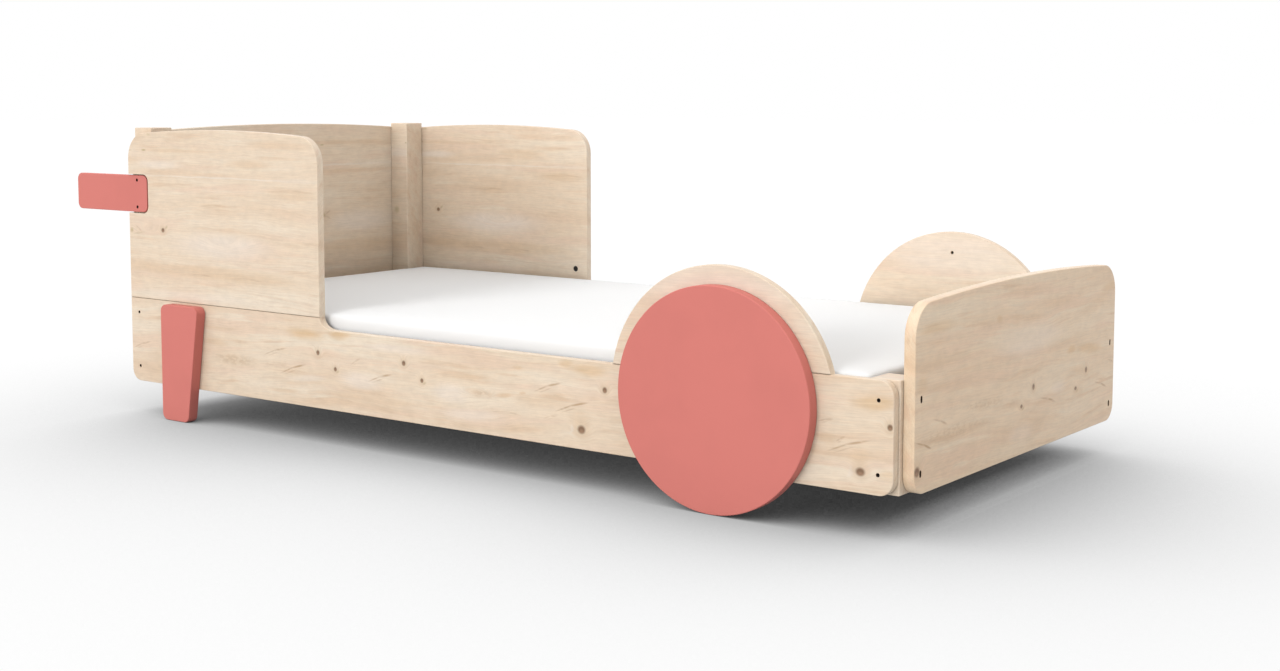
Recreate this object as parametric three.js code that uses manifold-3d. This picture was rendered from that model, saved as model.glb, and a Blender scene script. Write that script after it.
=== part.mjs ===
// A low wooden bed for a child in the shape of a vehicle: a cab at the head end, wheel discs at the foot end.
// Units are millimetres and +Z is up. The origin is on the floor, under the middle of the bed's box.
// The pieces are laid out in the bed's own frame: X = 0 at the head end of the side rails, growing to the
// foot, Y = 0 at the outer face of the near rail, growing to the far rail, and Z = 0 at the floor.
import * as THREE from "three";
import { mergeVertices } from "three/addons/utils/BufferGeometryUtils.js";
import Module from "manifold-3d";

const wasm = await Module();
wasm.setup();

// Mattress and the room that the frame leaves round it
const mattressLength = 1900;
const mattressWidth = 900;
const mattressHeight = 143;
const mattressGap = 2;
const mattressStand = 5;
const mattressCrown = 5;
const mattressCrownSpread = 2.2;
const mattressDrawIn = 2;
const mattressDrawInPower = 9;
const mattressEdgeRadius = 12;
const softGap = 0.3;
const mattressColumns = 14;
const mattressRows = 8;

// Boards, posts and the height of the frame
const boardThickness = 18;
const edgeBevel = 3;
const postSide = 60;
const postBevel = 2;
const groundClearance = 75;
const railHeight = 197;
const railDip = 25;
const railCornerRadius = 28;
const headPostHeight = 595;
const headPostSetback = 4.5;
const footPostDepth = 56;
const footPostReveal = 2.5;

// Cab panels on the rails at the head end
const cabLength = 641.5;
const cabSideDrop = 16;
const cabRise = 14;
const cabCornerRadius = 60;
const cabScoopLength = 40;

// Panels across the ends
const endPanelThickness = 22;
const endPanelInset = 27.5;
const headPanelSideDrop = 12;
const footPanelSideHeight = 322.5;
const endPanelRise = 15;
const endPanelTopRadius = 60;
const endPanelBottomRadius = 35;

// Wheel discs and the guards over them
const wheelRadius = 206;
const wheelThickness = 25;
const wheelSetback = 353.5;
const wheelFacets = 72;
const guardReveal = 34.5;
const guardScrewInset = 11;
const guardScrewBite = 12;

// Legs outside the rails
const legPlace = 140.5;
const legTopWidth = 130;
const legFootWidth = 90;
const legThickness = 26;
const legCornerRadius = 16;
const legDrop = 5;

// Side plates in the pockets of the cab panels
const plateLength = 263;
const plateHeight = 86;
const plateThickness = 12;
const plateReach = 198;
const plateDrop = 94.5;
const plateSetback = 2;
const plateCornerRadius = 15;
const plateBoltInset = 11.5;
const pocketGap = 2.5;
const pocketEndGap = 7;

// Slats on ledgers
const ledgerSide = 30;
const ledgerPlay = 0.5;
const slatCount = 12;
const slatWidth = 80;
const slatThickness = 18;
const slatPlay = 1;

// Bolts with a sunk cylinder head, and the holes that they sit in
const boltInset = 29;
const panelBoltInset = 23.5;
const boltHeights = [35.6, 162.8];
const boltHeadRadius = 3.3;
const boltHeadLength = 4;
const boltShankRadius = 2;
const boltSink = 6;
const boltPlay = 0.3;
const crossingGap = 4;
const panelBoltBite = 40;
const panelSlotHeight = 13;
const boltSides = 10;

// Cam fittings that pull the cab panels down on the rails
const camInset = 37.5;
const camRise = 28.5;
const camRadius = 7.2;
const camLength = 12.5;
const camBoltRadius = 3;
const camBoltBite = 28;
const camSides = 20;

// Worked out from the sizes above
const clearLength = mattressLength + 2 * mattressGap;
const clearWidth = mattressWidth + 2 * mattressGap;
const bedWidth = clearWidth + 2 * boardThickness;
const headPostStart = headPostSetback;
const headPanelStart = headPostStart - endPanelThickness;
const clearStart = headPostStart + postSide;
const clearEnd = clearStart + clearLength;
const footPanelStart = clearEnd + footPostDepth;
const railLength = footPanelStart - footPostReveal;
const railBottom = groundClearance;
const railTop = railBottom + railHeight;
const dipTop = railTop - railDip;
const legTop = railTop - legDrop;
const endPanelEnd = bedWidth - endPanelInset;
const panelBoltLine = endPanelInset + panelBoltInset;
const wheelPlace = railLength - wheelSetback;
const guardRadius = wheelRadius + guardReveal;
const headPostTop = railBottom + headPostHeight;
const cabSideTop = headPostTop - cabSideDrop;
const headPanelSideHeight = headPostHeight - headPanelSideDrop;
const scoopEnd = cabLength + cabScoopLength;
const plateStart = -plateReach;
const plateTop = cabSideTop - plateDrop;
const plateBottom = plateTop - plateHeight;
const mattressTop = railTop + mattressStand + mattressCrown;
const mattressBottom = mattressTop - mattressHeight;
const slatTop = mattressBottom - softGap;
const ledgerTop = slatTop - slatThickness;
const bedStart = Math.min(plateStart, headPanelStart);
const bedEnd = footPanelStart + endPanelThickness;

// Round outlines are drawn in short straight steps that stay this close to the true arc
const arcTolerance = 0.25;
const samePoint = 0.01;

// A cutter reaches this far past the faces that it cuts through
const overCut = 1;

// Colours and surface values
const pine = { color: 0xecd6b4, roughness: 0.6, metalness: 0 };
const coral = { color: 0xdc8378, roughness: 0.55, metalness: 0 };
const steel = { color: 0x3a3a3c, roughness: 0.45, metalness: 0.8 };
const cloth = { color: 0xf6f6f4, roughness: 0.9, metalness: 0 };

const bed = new THREE.Group();
bed.position.set(-(bedStart + bedEnd) / 2, -bedWidth / 2, 0);

function toSolid(geometry) {
  const bare = geometry.clone();
  bare.deleteAttribute("normal");
  bare.deleteAttribute("uv");
  const merged = mergeVertices(bare, 1e-4);
  const vertProperties = new Float32Array(merged.attributes.position.array);
  const triVerts = new Uint32Array(merged.index.array);
  return new wasm.Manifold(new wasm.Mesh({ numProp: 3, vertProperties, triVerts }));
}

function toGeometry(solid) {
  const mesh = solid.getMesh();
  const geometry = new THREE.BufferGeometry();
  geometry.setAttribute("position", new THREE.BufferAttribute(new Float32Array(mesh.vertProperties), 3));
  geometry.setIndex(new THREE.BufferAttribute(new Uint32Array(mesh.triVerts), 1));
  return geometry;
}

function addPiece(name, geometry, finish) {
  const mesh = new THREE.Mesh(geometry, new THREE.MeshStandardMaterial(finish));
  mesh.name = name;
  bed.add(mesh);
}

// The bed is the same on both sides: the far piece is the near one mirrored, its faces turned to point out
function addPair(name, solid, finish) {
  const near = toGeometry(solid);
  addPiece(name.replace("SIDE", "near"), near, finish);
  const far = near.clone();
  far.scale(1, -1, 1);
  far.translate(0, bedWidth, 0);
  const order = far.index.array;
  for (let index = 0; index < order.length; index += 3) {
    [order[index + 1], order[index + 2]] = [order[index + 2], order[index + 1]];
  }
  addPiece(name.replace("SIDE", "far"), far, finish);
}

function box(low, high) {
  const size = high.map((value, axis) => value - low[axis]);
  const geometry = new THREE.BoxGeometry(...size);
  geometry.translate(...low.map((value, axis) => value + size[axis] / 2));
  return toSolid(geometry);
}

// An outline in the X-Z plane becomes an upright board from Y = start, its edges bevelled on both faces
function sideBoard(outline, start, thickness) {
  const geometry = bevelledBoard(outline, thickness, edgeBevel);
  geometry.rotateX(Math.PI / 2);
  geometry.translate(0, start + thickness, 0);
  return toSolid(geometry);
}

// An outline drawn with Y to the right and Z up becomes a board across the bed from X = start
function crossBoard(outline, start, thickness) {
  const geometry = bevelledBoard(outline, thickness, edgeBevel);
  geometry.rotateX(Math.PI / 2);
  geometry.rotateZ(Math.PI / 2);
  geometry.translate(start, 0, 0);
  return toSolid(geometry);
}

function bevelledBoard(outline, thickness, bevel) {
  const geometry = new THREE.ExtrudeGeometry(new THREE.Shape(outline), {
    depth: thickness - 2 * bevel,
    bevelEnabled: true,
    bevelThickness: bevel,
    bevelSize: bevel,
    bevelOffset: -bevel,
    bevelSegments: 1,
  });
  geometry.translate(0, 0, bevel);
  return geometry;
}

// An outline is a list of points that runs counter-clockwise, with no point twice in a row
function corner(outline, x, z) {
  const last = outline.at(-1);
  if (!last || Math.hypot(last.x - x, last.y - z) > samePoint) {
    outline.push(new THREE.Vector2(x, z));
  }
}

// A stretch of an ellipse from one angle to another
function roundStretch(outline, x, z, wide, tall, from, to) {
  const step = 2 * Math.acos(1 - arcTolerance / Math.max(wide, tall));
  const steps = Math.max(2, Math.ceil(Math.abs(to - from) / step));
  for (let index = 0; index <= steps; index += 1) {
    const angle = from + ((to - from) * index) / steps;
    corner(outline, x + wide * Math.cos(angle), z + tall * Math.sin(angle));
  }
}

function arc(outline, x, z, radius, from, to) {
  roundStretch(outline, x, z, radius, radius, from, to);
}

// The lower corners of a board, from its left edge to its right
function roundedBottom(outline, left, right, bottom, radius) {
  arc(outline, left + radius, bottom + radius, radius, Math.PI, 1.5 * Math.PI);
  arc(outline, right - radius, bottom + radius, radius, 1.5 * Math.PI, 2 * Math.PI);
}

// From the right edge of a board over its arched top to the left edge, with a rounded corner at each end.
// The arch is one wide arc through both side heights and the middle, and the corner arcs are tangent to it.
function archedTop(outline, left, right, sideHeight, rise, radius) {
  const half = (right - left) / 2;
  const archRadius = (half * half + rise * rise) / (2 * rise);
  const archCentre = sideHeight + rise - archRadius;
  const reach = half - radius;
  const cornerCentre = archCentre + Math.sqrt((archRadius - radius) ** 2 - reach ** 2);
  const slope = Math.atan2(cornerCentre - archCentre, reach);
  arc(outline, right - radius, cornerCentre, radius, 0, slope);
  arc(outline, (left + right) / 2, archCentre, archRadius, slope, Math.PI - slope);
  arc(outline, left + radius, cornerCentre, radius, Math.PI - slope, Math.PI);
}

function roundedBoard(left, right, bottom, top, radius) {
  const outline = [];
  roundedBottom(outline, left, right, bottom, radius);
  arc(outline, right - radius, top - radius, radius, 0, Math.PI / 2);
  arc(outline, left + radius, top - radius, radius, Math.PI / 2, Math.PI);
  return outline;
}

// The rail, the cab panel and the wheel guard share one side view, which the seams then part
function sideOutline() {
  const guardCentre = wheelRadius;
  const headSideAngle = Math.PI - Math.asin((dipTop - guardCentre) / guardRadius);
  const footSideAngle = Math.asin((railTop - guardCentre) / guardRadius);
  const outline = [];
  roundedBottom(outline, 0, railLength, railBottom, railCornerRadius);
  arc(outline, railLength - railCornerRadius, railTop - railCornerRadius, railCornerRadius, 0, Math.PI / 2);
  arc(outline, wheelPlace, guardCentre, guardRadius, footSideAngle, headSideAngle);
  roundStretch(outline, scoopEnd, railTop, cabScoopLength, railDip, 1.5 * Math.PI, Math.PI);
  archedTop(outline, 0, cabLength, cabSideTop, cabRise, cabCornerRadius);
  return outline;
}

function endPanelOutline(sideHeight) {
  const outline = [];
  roundedBottom(outline, endPanelInset, endPanelEnd, railBottom, endPanelBottomRadius);
  archedTop(outline, endPanelInset, endPanelEnd, railBottom + sideHeight, endPanelRise, endPanelTopRadius);
  return outline;
}

// A turned solid along +Y: the profile holds a radius and a place for each of its points
function turned(profile, sides, turn = 0) {
  const points = profile.map(([radius, place]) => new THREE.Vector2(radius, place));
  return toSolid(new THREE.LatheGeometry(points, sides, turn, 2 * Math.PI));
}

function cylinder(radius, low, high, sides) {
  return turned([[0, low], [radius, low], [radius, high], [0, high]], sides);
}

// A bolt along +Y whose head starts sunk under the face at Y = 0, and the stepped hole that it sits in
function boltShape(tip) {
  const shoulder = boltSink + boltHeadLength;
  const profile = [[0, boltSink], [boltHeadRadius, boltSink], [boltHeadRadius, shoulder]];
  profile.push([boltShankRadius, shoulder], [boltShankRadius, tip], [0, tip]);
  return turned(profile, boltSides);
}

function boltHole(tip) {
  const shoulder = boltSink + boltHeadLength + boltPlay;
  const wide = boltHeadRadius + boltPlay;
  const narrow = boltShankRadius + boltPlay;
  const profile = [[0, -boltSink], [wide, -boltSink], [wide, shoulder]];
  profile.push([narrow, shoulder], [narrow, tip + boltPlay], [0, tip + boltPlay]);
  return turned(profile, boltSides);
}

// The same hole with its wide part drawn out to an upright slot with round ends
function slottedBoltHole(tip) {
  const shoulder = boltSink + boltHeadLength + boltPlay;
  const wide = boltHeadRadius + boltPlay;
  const tall = panelSlotHeight / 2;
  const section = new THREE.Shape(roundedBoard(-wide, wide, -tall, tall, wide));
  const slot = new THREE.ExtrudeGeometry(section, { depth: shoulder + boltSink, bevelEnabled: false });
  slot.rotateX(Math.PI / 2);
  slot.translate(0, shoulder, 0);
  return boltHole(tip).add(toSolid(slot));
}

// Turned solids are placed along another heading than +Y
const headings = { "+y": 0, "-y": 180, "+x": -90, "-x": 90 };

function placeTurned(solid, heading, point) {
  return solid.rotate([0, 0, headings[heading]]).translate(point);
}

function drill(solids, cutter) {
  return solids.map((solid) => solid.subtract(cutter));
}

function post(start, depth, height) {
  const b = postBevel;
  const section = [];
  corner(section, b, 0);
  corner(section, depth - b, 0);
  corner(section, depth, b);
  corner(section, depth, postSide - b);
  corner(section, depth - b, postSide);
  corner(section, b, postSide);
  corner(section, 0, postSide - b);
  corner(section, 0, b);
  const geometry = bevelledBoard(section, height, b);
  geometry.translate(start, boardThickness, railBottom);
  return toSolid(geometry);
}

// One bevelled board is parted along the seams into rail, cab panel and wheel guard
const whole = sideBoard(sideOutline(), 0, boardThickness);
const overInside = boardThickness + overCut;
const overAll = cabSideTop + cabRise + overCut;
const overRail = box([-overCut, -overCut, railTop], [railLength + overCut, overInside, overAll]);
const overDip = box([scoopEnd, -overCut, dipTop], [wheelPlace, overInside, overAll]);
const overCab = box([-overCut, -overCut, railTop], [scoopEnd, overInside, overAll]);
const guardEnd = wheelPlace + Math.sqrt(guardRadius ** 2 - (railTop - wheelRadius) ** 2);
const overGuard = box([cabLength, -overCut, dipTop], [guardEnd, overInside, overAll]);
const seams = overRail.add(overDip);
let rail = whole.subtract(seams);
let cabPanel = whole.intersect(overCab);
let guard = whole.intersect(seams).intersect(overGuard).subtract(overCab);

// Posts in the corners and panels across the ends
let headPost = post(headPostStart, postSide, headPostHeight);
let footPost = post(clearEnd, footPostDepth, railHeight);
let headPanel = crossBoard(endPanelOutline(headPanelSideHeight), headPanelStart, endPanelThickness);
let footPanel = crossBoard(endPanelOutline(footPanelSideHeight), footPanelStart, endPanelThickness);

// Two rail bolts at each end go through the rail into the post, and two panel bolts at each end of the
// end panels go through the panel into the same post, at the same heights. A rail bolt ends short of the
// panel bolt that crosses its way. The panel bolts' heads sit in upright slots.
boltHeights.forEach((height, index) => {
  const level = index ? "upper" : "lower";
  const z = railBottom + height;
  const railTip = panelBoltLine - boltShankRadius - crossingGap;
  const railCutter = (x) => placeTurned(boltHole(railTip), "+y", [x, 0, z]);
  const railBolt = (x) => placeTurned(boltShape(railTip), "+y", [x, 0, z]);
  const headX = boltInset;
  const footX = railLength - boltInset;
  [rail, headPost] = drill([rail, headPost], railCutter(headX));
  [rail, footPost] = drill([rail, footPost], railCutter(footX));
  addPair(`rail_bolt_SIDE_head_${level}`, railBolt(headX), steel);
  addPair(`rail_bolt_SIDE_foot_${level}`, railBolt(footX), steel);

  const panelTip = endPanelThickness + panelBoltBite;
  const footFace = footPanelStart + endPanelThickness;
  for (const place of [panelBoltLine, bedWidth - panelBoltLine]) {
    const headCutter = placeTurned(slottedBoltHole(panelTip), "+x", [headPanelStart, place, z]);
    const footCutter = placeTurned(slottedBoltHole(panelTip), "-x", [footFace, place, z]);
    [headPanel, headPost] = drill([headPanel, headPost], headCutter);
    [footPanel, footPost] = drill([footPanel, footPost], footCutter);
  }
  const panelBolt = (heading, x) => placeTurned(boltShape(panelTip), heading, [x, panelBoltLine, z]);
  addPair(`head_panel_bolt_SIDE_${level}`, panelBolt("+x", headPanelStart), steel);
  addPair(`foot_panel_bolt_SIDE_${level}`, panelBolt("-x", footFace), steel);
});

// Side plate on the floor of a pocket in the cab panel, bolted through it to the head post
const plateEnd = plateStart + plateLength;
const pocketDepth = plateSetback + plateThickness;
const plateOutline = roundedBoard(plateStart, plateEnd, plateBottom, plateTop, plateCornerRadius);
const pocketOutline = roundedBoard(
  plateStart,
  plateEnd + pocketEndGap,
  plateBottom - pocketGap,
  plateTop + pocketGap,
  plateCornerRadius + pocketGap,
);
const pocket = new THREE.ExtrudeGeometry(new THREE.Shape(pocketOutline), {
  depth: pocketDepth + overCut,
  bevelEnabled: false,
});
pocket.rotateX(Math.PI / 2);
pocket.translate(0, pocketDepth, 0);
cabPanel = cabPanel.subtract(toSolid(pocket));
let plate = sideBoard(plateOutline, plateSetback, plateThickness);
[plateBottom + plateBoltInset, plateTop - plateBoltInset].forEach((z, index) => {
  const level = index ? "upper" : "lower";
  const tip = plateThickness + panelBoltBite;
  const point = [boltInset, plateSetback, z];
  const cutter = placeTurned(boltHole(tip), "+y", point);
  [plate, cabPanel, headPost] = drill([plate, cabPanel, headPost], cutter);
  addPair(`plate_bolt_SIDE_${level}`, placeTurned(boltShape(tip), "+y", point), steel);
});

// Wheel disc with a flat facet on the floor, and the guard screw driven into it from the bed's inside
const facetRadius = wheelRadius / Math.cos(Math.PI / wheelFacets);
const rim = [[0, 0], [facetRadius - edgeBevel, 0], [facetRadius, edgeBevel]];
rim.push([facetRadius, wheelThickness - edgeBevel], [facetRadius - edgeBevel, wheelThickness]);
rim.push([0, wheelThickness]);
const disc = turned(rim, wheelFacets, Math.PI / wheelFacets);
let wheel = disc.translate([wheelPlace, -wheelThickness, wheelRadius]);
const screwPoint = [wheelPlace, boardThickness, 2 * wheelRadius - guardScrewInset];
const screwTip = boardThickness + guardScrewBite;
[guard, wheel] = drill([guard, wheel], placeTurned(boltHole(screwTip), "-y", screwPoint));
addPair("guard_screw_SIDE", placeTurned(boltShape(screwTip), "-y", screwPoint), steel);

// Leg outside the rail, one edge upright and one slanted, its top just under the rail's
const lean = Math.atan2(legTopWidth - legFootWidth, legTop);
const legRadius = legCornerRadius;
const slantedEdge = (height) => legPlace + legFootWidth + height * Math.tan(lean);
const slantedCentre = (height) => slantedEdge(height) - legRadius / Math.cos(lean);
const legOutline = [];
arc(legOutline, legPlace + legRadius, legRadius, legRadius, Math.PI, 1.5 * Math.PI);
arc(legOutline, slantedCentre(legRadius), legRadius, legRadius, -Math.PI / 2, -lean);
arc(legOutline, slantedCentre(legTop - legRadius), legTop - legRadius, legRadius, -lean, Math.PI / 2);
arc(legOutline, legPlace + legRadius, legTop - legRadius, legRadius, Math.PI / 2, Math.PI);
addPair("leg_SIDE", sideBoard(legOutline, -legThickness, legThickness), coral);

// Cam fitting near the cab panel's front edge, and the bolt that it pulls up out of the rail
const camX = cabLength - camInset;
const camZ = railTop + camRise;
const camHole = cylinder(camRadius + boltPlay, -boltSink, camLength + boltPlay, camSides);
const cam = cylinder(camRadius, boltPlay, camLength, camSides);
const camPoint = [camX, boardThickness, camZ];
cabPanel = cabPanel.subtract(placeTurned(camHole, "-y", camPoint));
addPair("cab_cam_SIDE", placeTurned(cam, "-y", camPoint), steel);
const pinTop = camZ - camRadius - boltPlay;
const pinBottom = railTop - camBoltBite;
const upright = (solid) => solid.rotate([90, 0, 0]).translate([camX, boardThickness / 2, 0]);
const pinHole = cylinder(camBoltRadius + boltPlay, pinBottom - boltPlay, camZ, boltSides);
[cabPanel, rail] = drill([cabPanel, rail], upright(pinHole));
addPair("cab_cam_bolt_SIDE", upright(cylinder(camBoltRadius, pinBottom, pinTop, boltSides)), steel);

// Ledger along the rail's inner face, from post to post
const ledgerLow = [clearStart + ledgerPlay, boardThickness, ledgerTop - ledgerSide];
const ledgerHigh = [clearEnd - ledgerPlay, boardThickness + ledgerSide, ledgerTop];
addPair("slat_ledger_SIDE", box(ledgerLow, ledgerHigh), pine);

addPair("side_rail_SIDE", rail, pine);
addPair("cab_panel_SIDE", cabPanel, pine);
addPair("wheel_guard_SIDE", guard, pine);
addPair("head_post_SIDE", headPost, pine);
addPair("foot_post_SIDE", footPost, pine);
addPair("side_plate_SIDE", plate, coral);
addPair("wheel_SIDE", wheel, coral);
addPiece("head_panel", toGeometry(headPanel), pine);
addPiece("foot_panel", toGeometry(footPanel), pine);

// Slats across the ledgers, with equal gaps between them and at both ends
const slatGap = (clearLength - slatCount * slatWidth) / (slatCount + 1);
for (let index = 0; index < slatCount; index += 1) {
  const start = clearStart + slatGap + index * (slatWidth + slatGap);
  const low = [start, boardThickness + slatPlay, ledgerTop];
  const high = [start + slatWidth, bedWidth - boardThickness - slatPlay, slatTop];
  addPiece(`slat_${String(index + 1).padStart(2, "0")}`, toGeometry(box(low, high)), pine);
}

// The mattress is a box with rounded edges, a crowned top and sides that pull in between its corners
function gridLines(size, radius, cells) {
  const inner = Array.from({ length: cells + 1 }, (_, i) => radius + (i * (size - 2 * radius)) / cells);
  return [0, ...inner, size].map((place) => place - size / 2);
}

function drawnIn(share) {
  return mattressDrawIn * Math.sign(share) * Math.abs(share) ** mattressDrawInPower;
}

function mattressGeometry() {
  const half = [mattressLength / 2, mattressWidth / 2, mattressHeight / 2];
  const lines = [
    gridLines(mattressLength, mattressEdgeRadius, mattressColumns),
    gridLines(mattressWidth, mattressEdgeRadius, mattressRows),
    gridLines(mattressHeight, mattressEdgeRadius, 2),
  ];
  const cells = lines.map((line) => line.length - 1);
  const geometry = new THREE.BoxGeometry(...cells, ...cells);
  const position = geometry.attributes.position;
  const point = new THREE.Vector3();
  const inner = new THREE.Vector3();
  for (let index = 0; index < position.count; index += 1) {
    point.fromBufferAttribute(position, index);
    const place = point.toArray().map((value, axis) => lines[axis][Math.round(value + cells[axis] / 2)]);
    point.fromArray(place);
    inner.fromArray(place.map((value, axis) => {
      const limit = half[axis] - mattressEdgeRadius;
      return Math.max(-limit, Math.min(limit, value));
    }));
    point.sub(inner).setLength(mattressEdgeRadius).add(inner);
    const alongX = 1 - (point.x / half[0]) ** 2;
    const alongY = 1 - (point.y / half[1]) ** 2;
    const onTop = Math.max(0, point.z / half[2]);
    const swellX = Math.min(1, mattressCrownSpread * alongX);
    const swellY = Math.min(1, mattressCrownSpread * alongY);
    point.z -= mattressCrown * onTop * (1 - swellX * Math.sqrt(swellY));
    point.x -= drawnIn(point.x / half[0]) * alongY;
    point.y -= drawnIn(point.y / half[1]) * alongX;
    position.setXYZ(index, point.x, point.y, point.z);
  }
  geometry.translate(clearStart + clearLength / 2, bedWidth / 2, mattressBottom + mattressHeight / 2);
  return geometry;
}

addPiece("mattress", toGeometry(toSolid(mattressGeometry())), cloth);

export default bed;
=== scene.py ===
import math

import bmesh
import bpy
import numpy as np
from mathutils import Euler, Matrix, Vector


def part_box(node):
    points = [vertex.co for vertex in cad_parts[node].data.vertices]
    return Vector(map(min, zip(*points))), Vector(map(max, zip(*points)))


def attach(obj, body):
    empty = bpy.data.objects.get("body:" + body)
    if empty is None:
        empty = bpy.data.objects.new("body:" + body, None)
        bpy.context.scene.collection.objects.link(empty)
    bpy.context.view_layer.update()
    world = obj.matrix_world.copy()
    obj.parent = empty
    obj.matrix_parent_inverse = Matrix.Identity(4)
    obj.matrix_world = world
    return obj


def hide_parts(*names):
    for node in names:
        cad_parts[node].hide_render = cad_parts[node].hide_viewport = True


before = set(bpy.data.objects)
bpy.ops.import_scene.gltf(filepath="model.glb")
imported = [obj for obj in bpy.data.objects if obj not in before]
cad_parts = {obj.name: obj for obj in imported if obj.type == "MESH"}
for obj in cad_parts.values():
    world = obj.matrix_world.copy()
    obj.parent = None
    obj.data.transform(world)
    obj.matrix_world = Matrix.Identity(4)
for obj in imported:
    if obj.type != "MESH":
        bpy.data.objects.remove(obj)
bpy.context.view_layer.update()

# Looks of a low wooden bed for a child in the shape of a vehicle: pine boards with softly rounded edges,
# painted discs and legs, sunk bolts, a slatted base and a loose mattress. Lengths are in metres.
# X runs from the head end to the foot end, Y from the near rail to the far rail, Z upwards.
bl_info = {
    "name": "Kids Bed Looks",
    "version": (1, 0, 0),
    "blender": (4, 5, 0),
    "location": "3D View > Sidebar > Kids Bed",
    "description": "Builds the visible pieces and finishes of a low wooden bed for a child",
    "category": "Object",
}

BODY = "frame"
X, Y, Z = range(3)
CHORD_TOLERANCE = 0.00002
SAME_POINT = 0.00001
OVERCUT = 0.001
ROUND_STEPS = 6
SHARP_ANGLE = math.radians(32)
HOLE_SIDES = 32
CAM_HOLE_SIDES = 64
CAM_SIDES = 48
PIN_SIDES = 24
TO_NEAR_SIDE = (0, -1, 0)
UPWARDS = (0, 0, 1)


def length_setting(name, description, default):
    return bpy.props.FloatProperty(name=name, description=description, default=default, unit="LENGTH")


def number_setting(name, description, default, **kind):
    return bpy.props.FloatProperty(name=name, description=description, default=default, **kind)


def share_setting(name, description, default):
    return number_setting(name, description, default, min=0, max=1, subtype="FACTOR")


def vector_setting(name, description, default, **kind):
    return bpy.props.FloatVectorProperty(name=name, description=description, default=default, size=3, **kind)


def colour_setting(name, description, default):
    return vector_setting(name, description, default, subtype="COLOR", min=0, max=1)


class BoardSizes(bpy.types.PropertyGroup):
    """Sizes of the boards that the frame's boxes don't give"""

    edge_round: length_setting("Edge Rounding", "Radius of the rounded board edges", 0.002)
    post_round: length_setting("Post Rounding", "Radius of the rounded post edges", 0.002)
    rail_corner: length_setting("Rail Corner", "Radius of the side rails' corners", 0.028)
    cab_corner: length_setting("Cab Corner", "Radius of the cab panels' upper corners", 0.060)
    cab_rise: length_setting("Cab Rise", "How far the cab panels' arched top rises over its ends", 0.014)
    scoop_length: length_setting(
        "Scoop Length", "Length of the curve from the cab panel down to the dip in the rail", 0.040)
    end_top_corner: length_setting("End Panel Upper Corner", "Radius of the end panels' upper corners", 0.060)
    end_bottom_corner: length_setting(
        "End Panel Lower Corner", "Radius of the end panels' lower corners", 0.035)
    end_rise: length_setting(
        "End Panel Rise", "How far the end panels' arched top rises over its ends", 0.015)
    guard_reveal: length_setting(
        "Guard Reveal", "Width of the wheel guard that shows round the wheel", 0.0345)
    leg_corner: length_setting("Leg Corner", "Radius of the legs' corners", 0.016)
    leg_foot_width: length_setting("Leg Foot Width", "Width of a leg where it meets the floor", 0.090)
    plate_corner: length_setting("Plate Corner", "Radius of the side plates' corners", 0.015)
    pocket_gap: length_setting(
        "Pocket Gap", "Gap over and under a side plate in its pocket in the cab panel", 0.0025)
    pocket_end_gap: length_setting(
        "Pocket End Gap", "Gap between a side plate's end and the end of its pocket", 0.007)
    seam_depth: length_setting(
        "Seam Depth", "How deep the eased edges at a seam between two boards reach", 0.003)
    seam_width: length_setting("Seam Width", "Width of the notch between the eased edges at a seam", 0.0018)
    ledger_corner: length_setting("Ledger Corner", "Radius of the slat ledgers' long edges", 0.002)
    ledger_round: length_setting(
        "Ledger Rounding", "Radius of the rounded edges at the ledgers' ends", 0.0015)
    slat_round: length_setting("Slat Rounding", "Radius of the slats' long edges", 0.0025)


class FastenerSizes(bpy.types.PropertyGroup):
    """Sizes of the bolts, the cams and their holes"""

    head_radius: length_setting("Head Radius", "Radius of a bolt's cylinder head", 0.0033)
    head_length: length_setting("Head Length", "Length of a bolt's cylinder head", 0.004)
    shank_radius: length_setting("Shank Radius", "Radius of a bolt's shank", 0.002)
    sink: length_setting("Sink", "How deep a bolt's head lies under the wood", 0.006)
    play: length_setting("Play", "Room round a fastener in its hole", 0.0003)
    socket_width: length_setting("Socket Width", "Width of the six-sided socket in a bolt's head", 0.004)
    slot_height: length_setting(
        "Slot Height", "Height of the upright slots that the end panels' bolts sit in", 0.013)
    cam_radius: length_setting("Cam Radius", "Radius of the cam fitting in a cab panel", 0.0072)
    cam_rim: length_setting("Cam Rim", "Width of the bevel round a cam fitting", 0.0006)


class BedColours(bpy.types.PropertyGroup):
    """Colours of the finishes"""

    pine: colour_setting("Pine", "Bare pine between the grain lines", (0.872, 0.706, 0.535))
    pine_band: colour_setting("Pine Band", "Warmer bands that run along the boards", (0.800, 0.597, 0.420))
    pine_rosy: colour_setting("Rosy Pine", "Faintly pink patches between the bands", (0.855, 0.650, 0.490))
    pine_pale: colour_setting("Pale Pine", "Pale bands that run along the boards", (0.900, 0.770, 0.615))
    knot: colour_setting("Knot", "Dark rim of a knot", (0.215, 0.115, 0.058))
    # Painted shade: the dark colour given to the walls of the bolt holes in place of the shade that falls in
    # them
    bore: colour_setting("Bore", "Dark inside of the bolt holes", (0.060, 0.035, 0.020))
    coral: colour_setting("Coral", "Matte paint of the wheels, legs and side plates", (0.735, 0.218, 0.184))
    steel: colour_setting("Steel", "Dark steel of the fasteners", (0.045, 0.042, 0.040))
    cloth: colour_setting("Cloth", "White cover of the mattress", (0.965, 0.965, 0.962))


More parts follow.
